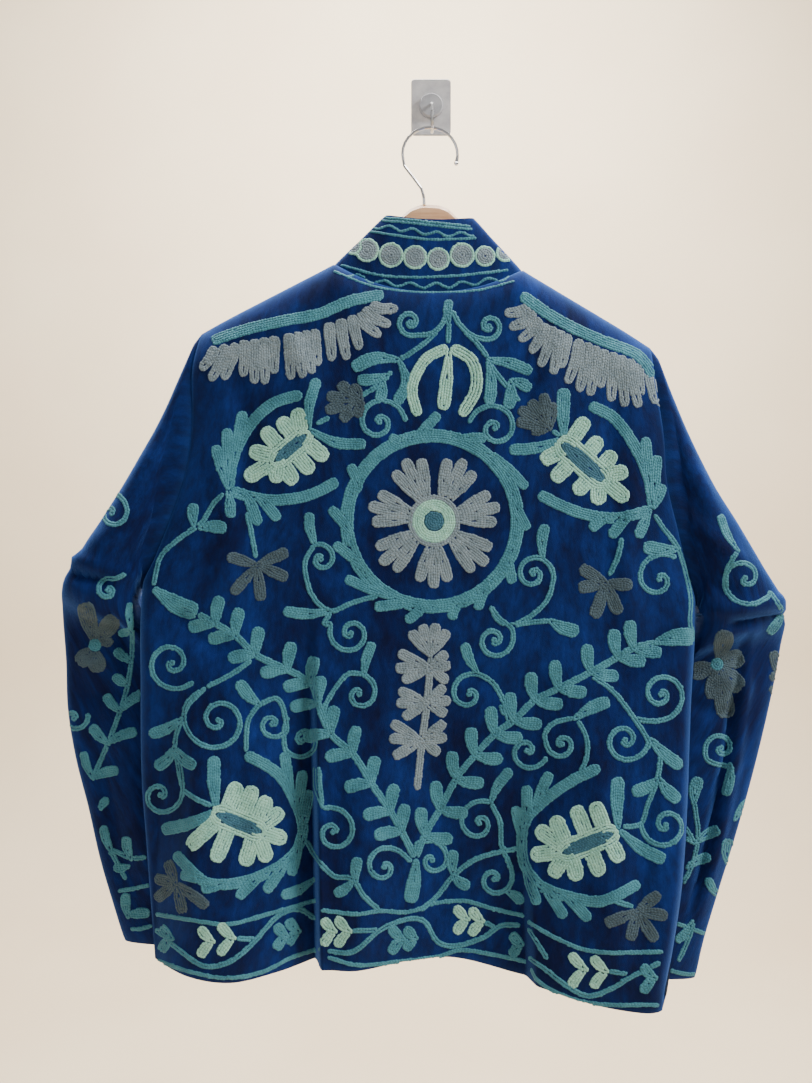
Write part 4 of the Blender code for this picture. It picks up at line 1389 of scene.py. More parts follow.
class CurlSpot(NamedTuple):
    """Tendril of the pattern: centre, start angle, sweep, first radius and tail."""
    centre: tuple
    start: float
    sweep: float
    radius: float
    tail: tuple = ()


class Fan(NamedTuple):
    """Fingers that hang from a shoulder band: both ends of their roots, and their tips."""
    root: tuple
    end: tuple
    tips: tuple


class BigFlower(NamedTuple):
    """Mint flower: both ends of the leaf at its heart, that leaf's width, and lobe tips."""
    root: tuple
    end: tuple
    width: float
    tips: tuple


SHOULDER_BANDS = (
    ((211, 341), (247, 329), (287, 320), (318, 314), (350, 301), (384, 294)),
    ((521, 294), (541, 309), (568, 325), (601, 340), (635, 353), (647, 365), (654, 377)),
)
FANS = named(Fan, (
    ((216, 346), (236, 343), ((200, 370), (210, 381), (223, 380))),
    ((245, 340), (274, 336), ((243, 377), (254, 384), (265, 384), (274, 374))),
    ((289, 333), (314, 329), ((291, 380), (303, 378), (312, 374), (318, 366))),
    ((329, 322), (352, 315), ((332, 361), (347, 360), (360, 350))),
    ((357, 313), (370, 304), ((381, 336), (391, 325), (398, 308))),
    ((530, 306), (540, 318), ((504, 313), (509, 328), (519, 341))),
    ((546, 323), (567, 333), ((530, 353), (540, 367), (553, 375), (561, 368))),
    ((580, 339), (604, 349), ((567, 384), (579, 392), (590, 396), (600, 388))),
    ((613, 352), (637, 361), ((611, 402), (625, 407), (639, 408), (641, 396))),
    ((649, 369), (653, 374), ((656, 404), (663, 408))),
))
FLOWERS = (
    BigFlower((275, 461), (306, 435), 10.5,
              ((297, 408), (279, 418), (263, 428), (249, 450), (245, 479), (275, 483),
               (295, 484), (312, 473), (327, 459))),
    BigFlower((562, 443), (604, 481), 14.5,
              ((587, 418), (601, 438), (615, 452), (628, 471), (628, 500), (598, 505),
               (575, 494), (553, 481), (541, 461))),
    BigFlower((216, 814), (261, 832), 12,
              ((238, 782), (254, 786), (268, 796), (283, 810), (287, 840), (268, 862),
               (244, 866), (215, 862), (188, 848))),
    BigFlower((613, 833), (563, 853), 12.5,
              ((594, 802), (575, 806), (554, 816), (536, 828), (530, 855), (551, 877),
               (578, 881), (601, 876), (621, 862))),
)
ARCS = (
    ((228, 489), (234, 456), (250, 425), (272, 404), (302, 394)),
    ((228, 490), (256, 498), (279, 500), (309, 495), (338, 481)),
    ((589, 405), (614, 418), (637, 450), (649, 480), (653, 508)),
    ((538, 494), (578, 512), (614, 518), (651, 510)),
    ((245, 754), (277, 773), (295, 801), (303, 830), (293, 855), (267, 873), (237, 883),
      (206, 882), (174, 853)),
    ((600, 767), (570, 782), (541, 803), (525, 822), (522, 849), (527, 870), (541, 886),
      (570, 897), (602, 901), (640, 883)),
)
ARC_TWIGS = (
    ((229, 486), (243, 411)), ((228, 487), (227, 428)), ((227, 487), (215, 445)),
    ((229, 492), (231, 518)), ((250, 498), (259, 525)), ((264, 500), (279, 520)),
    ((651, 500), (645, 437)), ((653, 505), (657, 455)), ((654, 508), (663, 484)),
    ((602, 516), (590, 530)), ((624, 518), (610, 537)), ((648, 513), (638, 538)),
    ((289, 784), (284, 752)), ((298, 806), (303, 770)), ((303, 825), (310, 790)),
    ((298, 848), (291, 876)), ((283, 867), (265, 892)), ((256, 878), (237, 898)),
    ((218, 884), (201, 890)), ((200, 878), (180, 874)),
    ((539, 796), (550, 772)), ((527, 812), (527, 785)), ((521, 830), (515, 806)),
    ((527, 877), (538, 905)), ((549, 892), (565, 918)), ((570, 898), (590, 920)),
)
WREATH_TWIGS = (
    ((361, 484), (350, 464)), ((351, 530), (330, 507)), ((360, 563), (334, 543)),
    ((378, 593), (345, 578)), ((402, 603), (374, 607)), ((420, 608), (406, 622)),
    ((453, 607), (451, 620)), ((482, 592), (477, 610)), ((507, 560), (512, 584)),
    ((514, 506), (528, 530)), ((500, 459), (527, 488)), ((470, 438), (487, 438)),
    ((423, 432), (439, 413)), ((398, 444), (389, 436)),
)
LEAVES = named(LeafSpot, (
    # round the nape
    ((449, 325), (449, 299), 7.5), ((397, 360), (352, 368), 12, -0.12),
    ((399, 362), (396, 404), 9.5, 0.2), ((387, 375), (357, 380), 10), ((382, 380), (379, 402), 10),
    ((489, 360), (532, 372), 10), ((488, 362), (489, 405), 10), ((512, 381), (531, 389), 10),
    ((510, 383), (508, 409), 11),
    # by the upper flowers
    ((309, 428), (317, 378), 9.5), ((311, 430), (366, 444), 9.5, -0.1),
    ((564, 438), (564, 388), 12, 0.02), ((561, 439), (509, 450), 10),
    # at the sides of the medallion
    ((156, 590), (198, 613), 17, -0.06), ((194, 524), (194, 503), 10),
    ((201, 528), (227, 528), 11), ((315, 544), (309, 512), 8.5), ((330, 611), (283, 611), 9.5),
    ((676, 549), (643, 546), 12.5), ((657, 642), (697, 637), 16), ((543, 556), (545, 524), 9.5),
    ((551, 621), (579, 632), 12, -0.06),
    # below the medallion
    ((364, 675), (373, 642), 8.5), ((477, 671), (464, 643), 9),
    # lower left
    ((181, 719), (149, 735), 10), ((174, 747), (155, 768), 10.5, 0.1),
    ((175, 747), (196, 767), 10.5, -0.1), ((259, 704), (238, 681), 11),
    ((322, 806), (316, 766), 6), ((356, 881), (358, 857), 9.5), ((352, 882), (334, 895), 9),
    ((216, 808), (214, 756), 11.5, 0.02), ((214, 811), (161, 830), 11),
    ((313, 880), (281, 896), 9),
    # lower right
    ((651, 740), (682, 767), 11, -0.04), ((656, 780), (632, 793), 11),
    ((660, 780), (680, 801), 11, -0.06), ((576, 718), (610, 701), 11), ((491, 801), (511, 769), 9),
    ((618, 826), (618, 777), 12, 0.02), ((622, 832), (665, 860), 11, -0.06),
    ((453, 873), (454, 850), 10), ((454, 875), (470, 887), 10, -0.1),
    ((416, 862), (410, 903), 13, 0.02), ((508, 892), (523, 903), 9),
))
CURLS = named(CurlSpot, (
    ((410, 322), 70, 500, 14, ((447, 308), (443, 322), (432, 333))),
    ((489, 326), 110, -480, 14, ((452, 310), (458, 322), (470, 334))), ((379, 422), 0, -540, 27),
    ((495, 428), 190, 540, 27), ((321, 559), 250, 440, 16),
    ((351, 633), 205, -520, 23, ((331, 612), (324, 624))),
    ((359, 694), 235, 450, 23, ((325, 722), (325, 706))),
    ((533, 574), 15, -560, 21, ((514, 625), (532, 615), (547, 600))),
    ((494, 640), -35, 540, 21, ((490, 606), (499, 618))),
    ((469, 694), -60, -430, 22, ((509, 722), (503, 700), (492, 682))), ((659, 579), -50, -430, 28),
    ((172, 663), 40, 540, 29), ((218, 720), 180, -560, 34, ((201, 690), (187, 703))),
    ((160, 795), 0, 440, 22, ((178, 752), (182, 780))),
    ((272, 724), 20, 400, 16, ((259, 704), (278, 699))),
    ((303, 740), 150, -430, 20, ((288, 716), (284, 732))),
    ((333, 832), 250, 500, 26, ((322, 808),)), ((384, 867), -45, -440, 22, ((412, 862),)),
    ((432, 860), 225, 440, 22, ((418, 860),)),
    ((625, 740), 10, 520, 24, ((592, 676), (613, 691), (634, 718), (647, 738))),
    ((661, 694), 85, -560, 26, ((634, 718), (648, 721))), ((666, 825), 190, -520, 26),
    ((562, 744), 165, -430, 15, ((574, 718), (556, 722), (545, 733))), ((527, 751), 15, 430, 21),
    ((479, 823), -60, -480, 24), ((494, 879), -30, 440, 20, ((503, 850),)),
))
STEMS = (
    ((449, 318), (448, 344)), ((396, 361), (412, 352), (432, 336), (446, 318)),
    ((488, 358), (478, 344), (464, 330), (453, 316)), ((490, 364), (504, 383), (520, 401)),
    ((392, 371), (378, 385), (361, 396)), ((316, 424), (330, 417)), ((552, 430), (560, 436)),
    ((224, 493), (214, 503), (201, 523), (181, 537), (161, 556), (153, 586)),
    ((247, 512), (252, 536), (256, 558)),
    ((314, 545), (305, 562), (309, 588), (318, 603), (331, 611), (354, 602), (378, 596)),
    ((654, 514), (665, 530), (677, 546), (686, 574), (691, 600), (690, 624), (694, 634)),
    ((622, 537), (618, 556), (609, 576)), ((252, 660), (228, 676), (206, 687)),
    ((206, 687), (189, 704), (182, 720), (177, 732), (175, 747), (182, 788)),
    ((182, 789), (196, 799), (212, 806)), ((259, 704), (248, 721), (246, 752)),
    ((318, 766), (322, 806)),
    ((306, 840), (318, 860), (334, 876), (352, 879), (364, 896), (380, 911)),
    ((659, 744), (660, 762), (657, 780), (648, 804), (640, 824), (622, 827)),
    ((578, 720), (587, 740), (586, 760), (580, 772)),
    ((520, 848), (503, 849), (500, 822), (491, 803)),
    ((503, 851), (474, 860), (453, 876), (438, 895), (420, 911)),
    ((491, 608), (499, 621), (513, 625), (532, 622), (550, 621)), ((612, 900), (634, 907)),
    ((500, 704), (505, 716)),
)
STARS = (
    ((257, 565), ((288, 551), (288, 578), (261, 601), (232, 594), (227, 556)), 11.5),
    ((606, 583), ((580, 567), (578, 588), (594, 618), (619, 614), (633, 585)), 12.5),
    ((176, 883), ((167, 860), (154, 878), (155, 900), (183, 914), (208, 907)), 11.5),
    ((637, 911), ((660, 893), (668, 916), (656, 941), (630, 941), (605, 924)), 12),
)
PAWS = (
    ((361, 399), ((352, 384), (338, 383), (326, 396), (325, 411), (341, 421), (358, 418))),
    ((550, 428), ((553, 402), (543, 393), (530, 400), (519, 408), (516, 421), (530, 431))),
)
LEFT_BRANCH = ((198, 614), (216, 624), (236, 636), (256, 655), (288, 670), (311, 684),
               (318, 704), (331, 734), (353, 754), (372, 784), (391, 812), (402, 832),
               (415, 858))
RIGHT_BRANCH = ((656, 642), (634, 648), (618, 657), (591, 672), (559, 688), (535, 700),
                (514, 720), (495, 734), (475, 755), (456, 779), (440, 809), (425, 835),
                (416, 858))
TREE_TOP = ((410, 631), (422, 624), (436, 623), (448, 630))
TREE_NODES = (
    ((430, 668), ((398, 652), (395, 668), (402, 681), (447, 652), (451, 665), (448, 682))),
    ((427, 703), ((398, 690), (396, 703), (403, 718), (445, 686), (451, 700), (447, 715))),
    ((422, 741), ((391, 722), (389, 738), (393, 757), (445, 722), (447, 737), (440, 754))),
)
HEM_LINES = (
    ((155, 914), (191, 920), (229, 924), (268, 914), (317, 900)),
    ((320, 910), (357, 914), (380, 911), (408, 912), (436, 903), (465, 901), (490, 908),
      (525, 916)), ((527, 921), (554, 937), (591, 951), (664, 952)),
    ((156, 960), (191, 972), (227, 978), (262, 972), (293, 957), (321, 948)),
    ((327, 957), (357, 965), (395, 962), (440, 956), (460, 950), (500, 956), (527, 962)),
    ((531, 968), (538, 981), (565, 996), (597, 1004), (660, 1005)),
)
VINES = (
    ((155, 929), (178, 949), (204, 966), (229, 962), (252, 944), (278, 916), (298, 909),
      (316, 919)),
    ((327, 951), (352, 952), (382, 929), (408, 919), (424, 921), (438, 942), (455, 946),
      (484, 937), (500, 926), (521, 925)), ((528, 928), (538, 944), (548, 960)),
    ((528, 957), (546, 970), (570, 988), (589, 996), (613, 988), (629, 978), (661, 962)),
    ((236, 938), (258, 940)), ((351, 931), (381, 930)), ((484, 922), (497, 928)),
    ((608, 971), (628, 974)),
)
HEM_CHEVRONS = {
    Thread.MINT: ((213, 941, 14), (234, 938, 15), (335, 931, 13), (350, 931, 14), (468, 919, 13),
                  (483, 921, 13), (586, 969, 16), (607, 971, 15)),
    Thread.TEAL: ((287, 936, 12), (299, 931, 12), (403, 939, 13), (416, 938, 11), (522, 944, 11),
                  (655, 978, 13), (172, 938, 12)),
}
COLLAR_LINES = (
    ((377, 217), (402, 219), (450, 224), (470, 226)),
    ((378, 220), (402, 222), (450, 227), (472, 229)),
    ((367, 231), (402, 236), (425, 239), (450, 239), (476, 238)),
    ((341, 265), (386, 276), (450, 276), (508, 270)),
    ((334, 271), (370, 285), (405, 291), (440, 292), (477, 290), (514, 281)),
)
COLLAR_SPOTS = ((353, 246, 9), (367, 250, 12), (391, 255, 12.5), (415, 257, 12),
                (438, 259, 11.5), (462, 255, 12.5), (485, 256, 10.5), (505, 253, 9))
SLEEVE_LEAVES = named(LeafSpot, (
    # left sleeve
    ((131, 629), (130, 602), 7), ((131, 629), (118, 634), 9), ((131, 661), (115, 649), 10),
    ((128, 684), (113, 675), 10), ((120, 711), (105, 694), 10), ((120, 711), (145, 692), 10),
    ((108, 743), (91, 725), 11), ((108, 743), (137, 731), 10), ((93, 778), (83, 751), 9),
    ((93, 778), (119, 770), 10), ((101, 808), (108, 798), 9), ((112, 852), (103, 825), 9),
    ((131, 858), (126, 836), 10), ((128, 866), (113, 868), 9), ((128, 916), (126, 893), 10),
    ((128, 916), (150, 913), 10),
    # right sleeve
    ((738, 550), (720, 514), 8), ((783, 611), (768, 634), 10), ((730, 765), (725, 796), 11),
    ((694, 802), (699, 777), 13), ((697, 842), (720, 829), 11), ((688, 867), (711, 856), 10),
    ((694, 842), (680, 824), 11), ((736, 818), (751, 800), 10), ((728, 864), (729, 838), 12),
    ((719, 896), (707, 877), 9), ((762, 782), (762, 758), 10), ((692, 922), (676, 942), 9),
))
SLEEVE_CURLS = named(CurlSpot, (
    ((112, 513), -80, 430, 19, ((96, 500),)), ((108, 590), 300, -430, 13, ((126, 574),)),
    ((74, 718), -20, 400, 15), ((745, 578), 35, 500, 30, ((783, 611), (770, 592))),
    ((721, 748), 140, 440, 18, ((730, 766), (716, 764))),
))
SLEEVE_STEMS = (
    ((738, 550), (727, 570), (726, 588)),
    ((126, 880), (118, 864), (111, 850), (131, 858), (147, 857)),
    ((131, 612), (132, 650), (128, 684), (120, 711), (108, 743), (92, 780)),
    ((694, 800), (698, 838), (691, 868), (682, 884)), ((694, 922), (688, 940), (678, 962)),
)
SLEEVE_FLOWERS = (
    ((95, 645), ((84, 602), (116, 616), (112, 636), (98, 673), (78, 665)), 18),
    ((717, 664), ((727, 630), (744, 656), (742, 690), (727, 718), (713, 700), (690, 674)), 19),
    ((782, 684), ((774, 650), (771, 672), (770, 694)), 13),
)
CUFF_LINES = (
    ((117, 891), (132, 889), (153, 884)), ((130, 929), (140, 929), (153, 925)),
    ((706, 934), (690, 928), (672, 922)), ((702, 974), (686, 974), (668, 970)),
)
FRONT_LINES = (
    ((393, 350), (396, 600), (402, 925)), ((452, 350), (450, 600), (444, 925)),
    ((382, 350), (385, 600), (391, 925)), ((463, 350), (461, 600), (455, 925)),
)


@dataclass
class Embroidery:
    """Draws the jacket's pattern: medallion, tree, flowers, curls, borders and sprigs.

    Attributes:
        sheet: Where the pattern is drawn.
        stem, line, collar_line, front_line: Widths of the thin bands.
        arc, finger, lobe, node_leaf, chevron: Widths of the broad ones.
        daisy, daisy_rings: Middle of the medallion and the radii of its rings.
        clusters, first_cluster: Number of petal clusters and the first one's angle.
        petal_start, petal_reach, petal_width: Where a petal starts and ends, and its width.
        petal_spread: Angle between the petals of a cluster, at their roots and at their tips.
        wreath, wreath_rings: Middle of the wreath and its inner, middle and outer radius.
    """
    sheet: Pattern = field(default_factory=Pattern)
    stem: float = 5.2
    line: float = 3.4
    collar_line: float = 3.2
    front_line: float = 4.4
    arc: float = 11.0
    finger: float = 12.6
    lobe: float = 16.2
    node_leaf: float = 12.5
    chevron: float = 11.0
    daisy: tuple = (434, 521)
    daisy_rings: tuple = (9.5, 21.5, 26.0)
    petal_start: float = 25
    petal_reach: float = 69
    petal_width: float = 11.6
    petal_spread: tuple = (11.0, 13.6)
    clusters: int = 7
    first_cluster: float = -64
    wreath: tuple = (432, 521)
    wreath_rings: tuple = (79, 86, 92)

    def collar(self) -> None:
        """Rows and spots of the stand collar."""
        sheet = self.sheet
        sheet.bands(Thread.TEAL, COLLAR_LINES, self.collar_line)
        sheet.wave(Thread.TEAL, ((371, 226), (402, 229), (440, 234), (474, 234)), 4.5, 24)
        sheet.wave(Thread.TEAL, ((340, 272), (386, 283), (450, 285), (512, 277)), 5, 26)
        for u, v, radius in COLLAR_SPOTS:
            sheet.disc(Thread.MINT, (u, v), radius, radius - 2.6)
            sheet.disc(Thread.GREY, (u, v), radius - 2.3)

    def shoulders(self) -> None:
        """Bands along the shoulder seams with their fans."""
        self.sheet.bands(Thread.TEAL, SHOULDER_BANDS, self.arc)
        for fan in FANS:
            root, end = np.array(fan.root, float), np.array(fan.end, float)
            for i, tip in enumerate(fan.tips):
                start = mix(root, end, i / (len(fan.tips) - 1))
                drop = start + np.array([0.0, 0.35 * np.linalg.norm(np.array(tip) - start)])
                middle = mix(0.5 * (start + np.array(tip)), drop, 0.3)
                self.sheet.band(Thread.GREY, (start, middle, tip), self.finger,
                                Taper.HORN)

    def centre(self) -> None:
        """Motifs between the nape and the medallion."""
        sheet = self.sheet
        sheet.band(Thread.MINT, ((448, 347), (425, 360), (412, 388), (418, 416)), 11)
        sheet.band(Thread.MINT, ((451, 347), (472, 361), (476, 388), (461, 416)), 12.5)
        sheet.band(Thread.MINT, ((449, 350), (447, 374), (443, 410)), 13.5, Taper.CLUB)
        for heart, tips in PAWS:
            sheet.petals(Thread.SLATE, heart, tips, 11.5)

    def medallion(self) -> None:
        """Wreath with the grey daisy in the middle of the back."""
        sheet = self.sheet
        u, v = self.daisy
        hole = 0.0
        for thread, radius in zip((Thread.DEEP, Thread.MINT, Thread.GREY), self.daisy_rings):
            sheet.disc(thread, (u, v), radius, hole)
            hole = radius
        for cluster in range(self.clusters):
            middle = math.radians(self.first_cluster + 360 * cluster / self.clusters)
            for finger in (-1, 0, 1):
                start, angle = (middle + finger * math.radians(spread)
                                for spread in self.petal_spread)
                near = self.petal_start
                # the outer petals of a cluster are shorter, and so is every second cluster
                reach = self.petal_reach - 5.0 * abs(finger) - 1.5 * (cluster % 2)
                sheet.leaf(Thread.GREY,
                           (u + near * math.cos(start), v + near * math.sin(start)),
                           (u + reach * math.cos(angle), v + reach * math.sin(angle)),
                           self.petal_width, 0.0)
        turn = np.linspace(0.0, 2.0 * np.pi, 380)
        inner, radius, outer = self.wreath_rings
        ring = np.stack([self.wreath[0] + radius * np.cos(turn),
                         self.wreath[1] + radius * np.sin(turn)], 1)
        sheet.twigs(Thread.TEAL, WREATH_TWIGS, [ring], 10.0)
        sheet.disc(Thread.TEAL, self.wreath, outer, inner)

    def flowers(self) -> None:
        """The four big flowers with their arcs."""
        sheet = self.sheet
        for flower in FLOWERS:
            root, end = np.array(flower.root, float), np.array(flower.end, float)
            axis = end - root
            sheet.band(Thread.DEEP, (root, 0.5 * (root + end), end), flower.width + 1.5,
                       Taper.LEAF)
            over = unit(axis) * 6.0
            sheet.band(Thread.MINT, (root - over, 0.5 * (root + end), end + over),
                       flower.width + 12.0)
            for tip in flower.tips:
                tip = np.array(tip, float)
                part = float(np.clip((tip - root) @ axis / (axis @ axis), 0.12, 0.88))
                start = root + part * axis
                start = start + unit(tip - start) * 0.32 * flower.width
                sheet.band(Thread.MINT, (start, 0.5 * (start + tip), tip), self.lobe)
        sheet.twigs(Thread.TEAL, ARC_TWIGS, [sheet.path(arc) for arc in ARCS], self.arc)
        sheet.bands(Thread.TEAL, ARCS, self.arc)

    def branches(self, lines: tuple) -> None:
        """Branches: at each node one leaf stands up and one points out.

        Args:
            lines: (nodes, direction of the outer leaf) of each branch.
        """
        for nodes, out in lines:
            for u, v in nodes[1:-1]:
                for tip, bend in (((u - 4 * out, v - 28), 0.05), ((u + 28 * out, v + 4), -0.05)):
                    self.sheet.leaf(Thread.TEAL, (u, v), tip, self.node_leaf, bend)
            self.sheet.band(Thread.TEAL, nodes, 6.6)

    def field(self) -> None:
        """Leaves, tendrils, stems and small stars between the flowers."""
        sheet = self.sheet
        for spot in LEAVES:
            sheet.leaf(Thread.TEAL, spot.root, spot.tip, spot.width + 1.5, spot.bend)
        for centre, tips, width in STARS:
            sheet.petals(Thread.SLATE, centre, tips, width)
        for spot in CURLS:
            sheet.curl(Thread.TEAL, *spot)
        sheet.bands(Thread.TEAL, STEMS, self.stem)

    def tree(self) -> None:
        """Grey tree below the medallion."""
        self.sheet.petals(Thread.GREY, (430, 655), TREE_TOP, 11)
        for node, tips in TREE_NODES:
            self.sheet.petals(Thread.GREY, node, tips, 10.5)
        self.sheet.band(Thread.GREY, ((432, 652), (430, 668), (427, 703), (422, 741),
                                      (417, 790)), 7)

    def hem(self) -> None:
        """Border along the hem: two lines, a vine and chevrons of leaves."""
        sheet = self.sheet
        for thread, spots in HEM_CHEVRONS.items():
            for u, v, size in spots:
                sheet.leaf(thread, (u, v), (u - size, v - size), self.chevron, 0.06)
                sheet.leaf(thread, (u, v), (u - size, v + 1.15 * size), self.chevron, -0.06)
        sheet.bands(Thread.TEAL, VINES, self.stem)
        sheet.bands(Thread.TEAL, HEM_LINES, self.line)

    def sleeves(self) -> None:
        """Leaves, tendrils, flowers and cuff borders of the sleeves."""
        sheet = self.sheet
        for heart, tips, width in SLEEVE_FLOWERS:
            sheet.disc(Thread.TEAL, heart, 6.5)
            sheet.petals(Thread.SLATE, heart, tips, width, 6.0)
        for spot in SLEEVE_LEAVES:
            sheet.leaf(Thread.TEAL, *spot)
        for spot in SLEEVE_CURLS:
            sheet.curl(Thread.TEAL, *spot)
        sheet.bands(Thread.TEAL, SLEEVE_STEMS, self.stem)
        sheet.bands(Thread.TEAL, CUFF_LINES, self.line)

    def draw_body(self, face: Face) -> list:
        """Draw the pattern of one side of the body.

        Args:
            face: Side of the jacket.

        Returns:
            (thread, points) rows on the pattern sheet.
        """
        self.sheet.rows = []
        if face is Face.ROOM:
            self.collar()
            self.centre()
            self.medallion()
            self.tree()
        else:
            self.sheet.bands(Thread.TEAL, FRONT_LINES, self.front_line)
        self.shoulders()
        self.flowers()
        self.branches(((LEFT_BRANCH, -1), (RIGHT_BRANCH, 1)))
        self.field()
        self.hem()
        return self.sheet.trimmed()

    def draw_sleeves(self) -> list:
        """Draw the pattern of the sleeves, the same on both sides."""
        self.sheet.rows = []
        self.sleeves()
        return self.sheet.trimmed()


@dataclass
class StitchShape:
    """One link of chain stitch, pinched at both ends.

    Attributes:
        length: Length of the link in pitches, so that links overlap.
        half_width, height: Half its width, and its height above its underside.
        sunk: How deep its underside lies in the pile.
        pinched: Share of the height at both ends.
    """
    length: float = 1.5
    half_width: float = 1.6
    height: float = 0.9
    sunk: float = 0.25
    pinched: float = 0.4

    def model(self) -> tuple[np.ndarray, np.ndarray]:
        """Model one link as by hand and read it back.

        Returns:
            Vertices (along 0 to 1, across and up in millimetres) and triangles.
        """
        bpy.ops.object.select_all(action="DESELECT")
        bpy.ops.mesh.primitive_uv_sphere_add(segments=6, ring_count=3, radius=1.0,
                                             rotation=(0.0, math.pi / 2, 0.0))
        link = bpy.context.object
        bpy.ops.object.transform_apply(location=True, rotation=True, scale=True)
        bpy.ops.object.mode_set(mode="EDIT")
        bpy.ops.mesh.select_all(action="SELECT")
        bpy.ops.mesh.quads_convert_to_tris()
        bpy.ops.object.mode_set(mode="OBJECT")
        mesh = link.data
        points = np.array([vertex.co for vertex in mesh.vertices])
        # the underside lies in the pile and is left off
        faces = np.array([tuple(face.vertices) for face in mesh.polygons
                          if face.center.z > 0.0])
        bpy.data.objects.remove(link)
        bpy.data.meshes.remove(mesh)
        used, faces = np.unique(faces, return_inverse=True)
        along, across, up = points[used].T
        shaped = np.stack([0.5 + 0.5 * self.length * along,
                           self.half_width * across / across.max(),
                           np.where(up > 0.1, self.height, 0.0) - self.sunk], 1)
        shaped[np.abs(along) > 0.9, 2] = self.pinched * self.height - self.sunk
        return shaped, faces.reshape(-1, 3)


@dataclass
class Needle:
    """Lays rows of the pattern on the cloth, link by link.

    Attributes:
        cut: The garment's cut.
        pieces: The settled cloth pieces by node.
        corner: World place (x, z) of the pattern sheet's upper left corner.
        scale: Millimetres on the cloth for each millimetre on the sheet.
        eye: Point from which the sheet is laid on the back.
        sheet_y: Depth of the sheet, just outside the back.
        pitch: Length of a link.
        unevenness: How far a hand-made link strays.
        swing, broadening, thickening: Share of it that turns, widens and raises a link.
        seed: Seed of the unevenness.
        steepest: Cosine past which a face is too steep to be sewn.
        longest_step: Gap between two points that ends a run.
        shortest_run: Least length of a run, in links.
        wall_side_y: Depth from which the pattern is laid on the fronts.
    """
    cut: GarmentCut
    pieces: dict
    corner: tuple = (-434.0, 72.1)
    scale: float = 1.0023
    eye: tuple = (-27.1, -955.0, -470.6)
    sheet_y: float = -73.0
    pitch: float = 2.9
    unevenness: float = 0.22
    swing: float = 0.6
    broadening: float = 0.5
    thickening: float = 0.6
    seed: int = 11
    steepest: float = -0.12
    longest_step: float = 7.0
    shortest_run: float = 0.6
    wall_side_y: float = 60.0
    tree: BVHTree = field(default=None)
    owner: np.ndarray = field(default=None)
    links: dict = field(default_factory=dict)

    def prepare(self) -> None:
        """Gather the outer faces of all pieces into one search tree."""
        points, faces, owner = [], [], []
        base = 0
        for index, piece in enumerate(self.pieces.values()):
            outer = self.cut.hang(piece.outer).reshape(-1, 3)
            own = piece.quads(base, piece.flip < 0)
            points.extend(outer.tolist())
            faces.extend(own)
            owner.extend([index] * len(own))
            base += len(outer)
        self.tree = BVHTree.FromPolygons(points, faces)
        self.owner = np.array(owner)

    def rays(self, sheet: np.ndarray, face: Face) -> tuple[np.ndarray, np.ndarray]:
        """Origin and direction of the ray that lays each point of the sheet on the cloth."""
        place = np.stack([self.corner[0] + self.scale * sheet[:, 0],
                          np.full(len(sheet), self.sheet_y),
                          self.corner[1] - self.scale * sheet[:, 1]], 1)
        if face is Face.ROOM:
            eye = np.array(self.eye)
            return np.broadcast_to(eye, place.shape), unit(place - eye)
        place[:, 1] = self.wall_side_y
        return place, np.broadcast_to(np.array([0.0, -1.0, 0.0]), place.shape)

    def sew(self, rows: list, face: Face, allowed: tuple) -> None:
        """Lay some rows on one side of the jacket.

        Args:
            rows: (thread, points) rows on the sheet.
            face: Side of the jacket.
            allowed: Nodes that may take stitches.
        """
        names = list(self.pieces)
        for thread, row in rows:
            origins, directions = self.rays(row, face)
            run, run_owner = [], None
            for origin, direction in zip(origins.tolist(), directions.tolist()):
                hit, normal, index, _ = self.tree.ray_cast(origin, direction)
                good = hit is not None and normal.dot(Vector(direction)) < self.steepest
                node = names[self.owner[index]] if good else None
                far = bool(run) and good and (hit - run[-1][0]).length > self.longest_step
                if node is None or node not in allowed or node != run_owner or far:
                    self.end_run(thread, run_owner, run)
                    run = []
                    run_owner = node if node in allowed else None
                if run_owner is not None:
                    run.append((hit, normal))
            self.end_run(thread, run_owner, run)

    def end_run(self, thread: Thread, node: str | None, run: list) -> None:
        """Cut a laid row into links of even length.

        Args:
            thread: Colour of the row.
            node: Piece that it lies on.
            run: (place, normal) along it.
        """
        if node is None or len(run) < 3:
            return
        places = np.array([place for place, _ in run])
        normals = np.array([normal for _, normal in run])
        along = run_length(places)
        if along[-1] < self.shortest_run * self.pitch:
            return
        count = max(1, round(along[-1] / self.pitch))
        at = np.linspace(0.0, along[-1], count + 1)
        ends = np.stack([np.interp(at, along, places[:, k]) for k in range(3)], 1)
        middle = 0.5 * (at[1:] + at[:-1])
        faces = np.stack([np.interp(middle, along, normals[:, k]) for k in range(3)], 1)
        self.links.setdefault((node, thread), []).append(
            np.concatenate([ends[:-1], ends[1:], unit(faces)], 1))

    def placed(self, links: np.ndarray, points: np.ndarray,
               chance: np.random.Generator) -> tuple[np.ndarray, np.ndarray]:
        """Place the vertices of some links, each link a little uneven as by hand.

        Args:
            links: Start, end and normal of each link.
            points: Vertices of the link that is repeated.
            chance: Source of the unevenness.

        Returns:
            Place (x, y, z) and flat place (u, v) of each vertex, in millimetres.
        """
        start, end, normal = links[:, :3], links[:, 3:6], links[:, 6:]
        step = end - start
        across = unit(np.cross(normal, step))
        up = unit(np.cross(step, across))
        wander = chance.normal(0.0, self.unevenness, (2, len(links), 1))
        start = start + across * wander[0]
        step = step - across * self.swing * wander[0]
        across = across * (1.0 + self.broadening * wander[1])
        up = up * (1.0 + self.thickening * wander[1])
        world = (start[:, None] + step[:, None] * points[None, :, :1]
                 + across[:, None] * points[None, :, 1:2]
                 + up[:, None] * points[None, :, 2:])
        length = np.linalg.norm(step, axis=1)[:, None]
        flat = np.stack([points[None, :, 0] * length,
                         np.broadcast_to(points[None, :, 1], (len(links), len(points)))], -1)
        return world.reshape(-1, 3), flat.reshape(-1, 2)

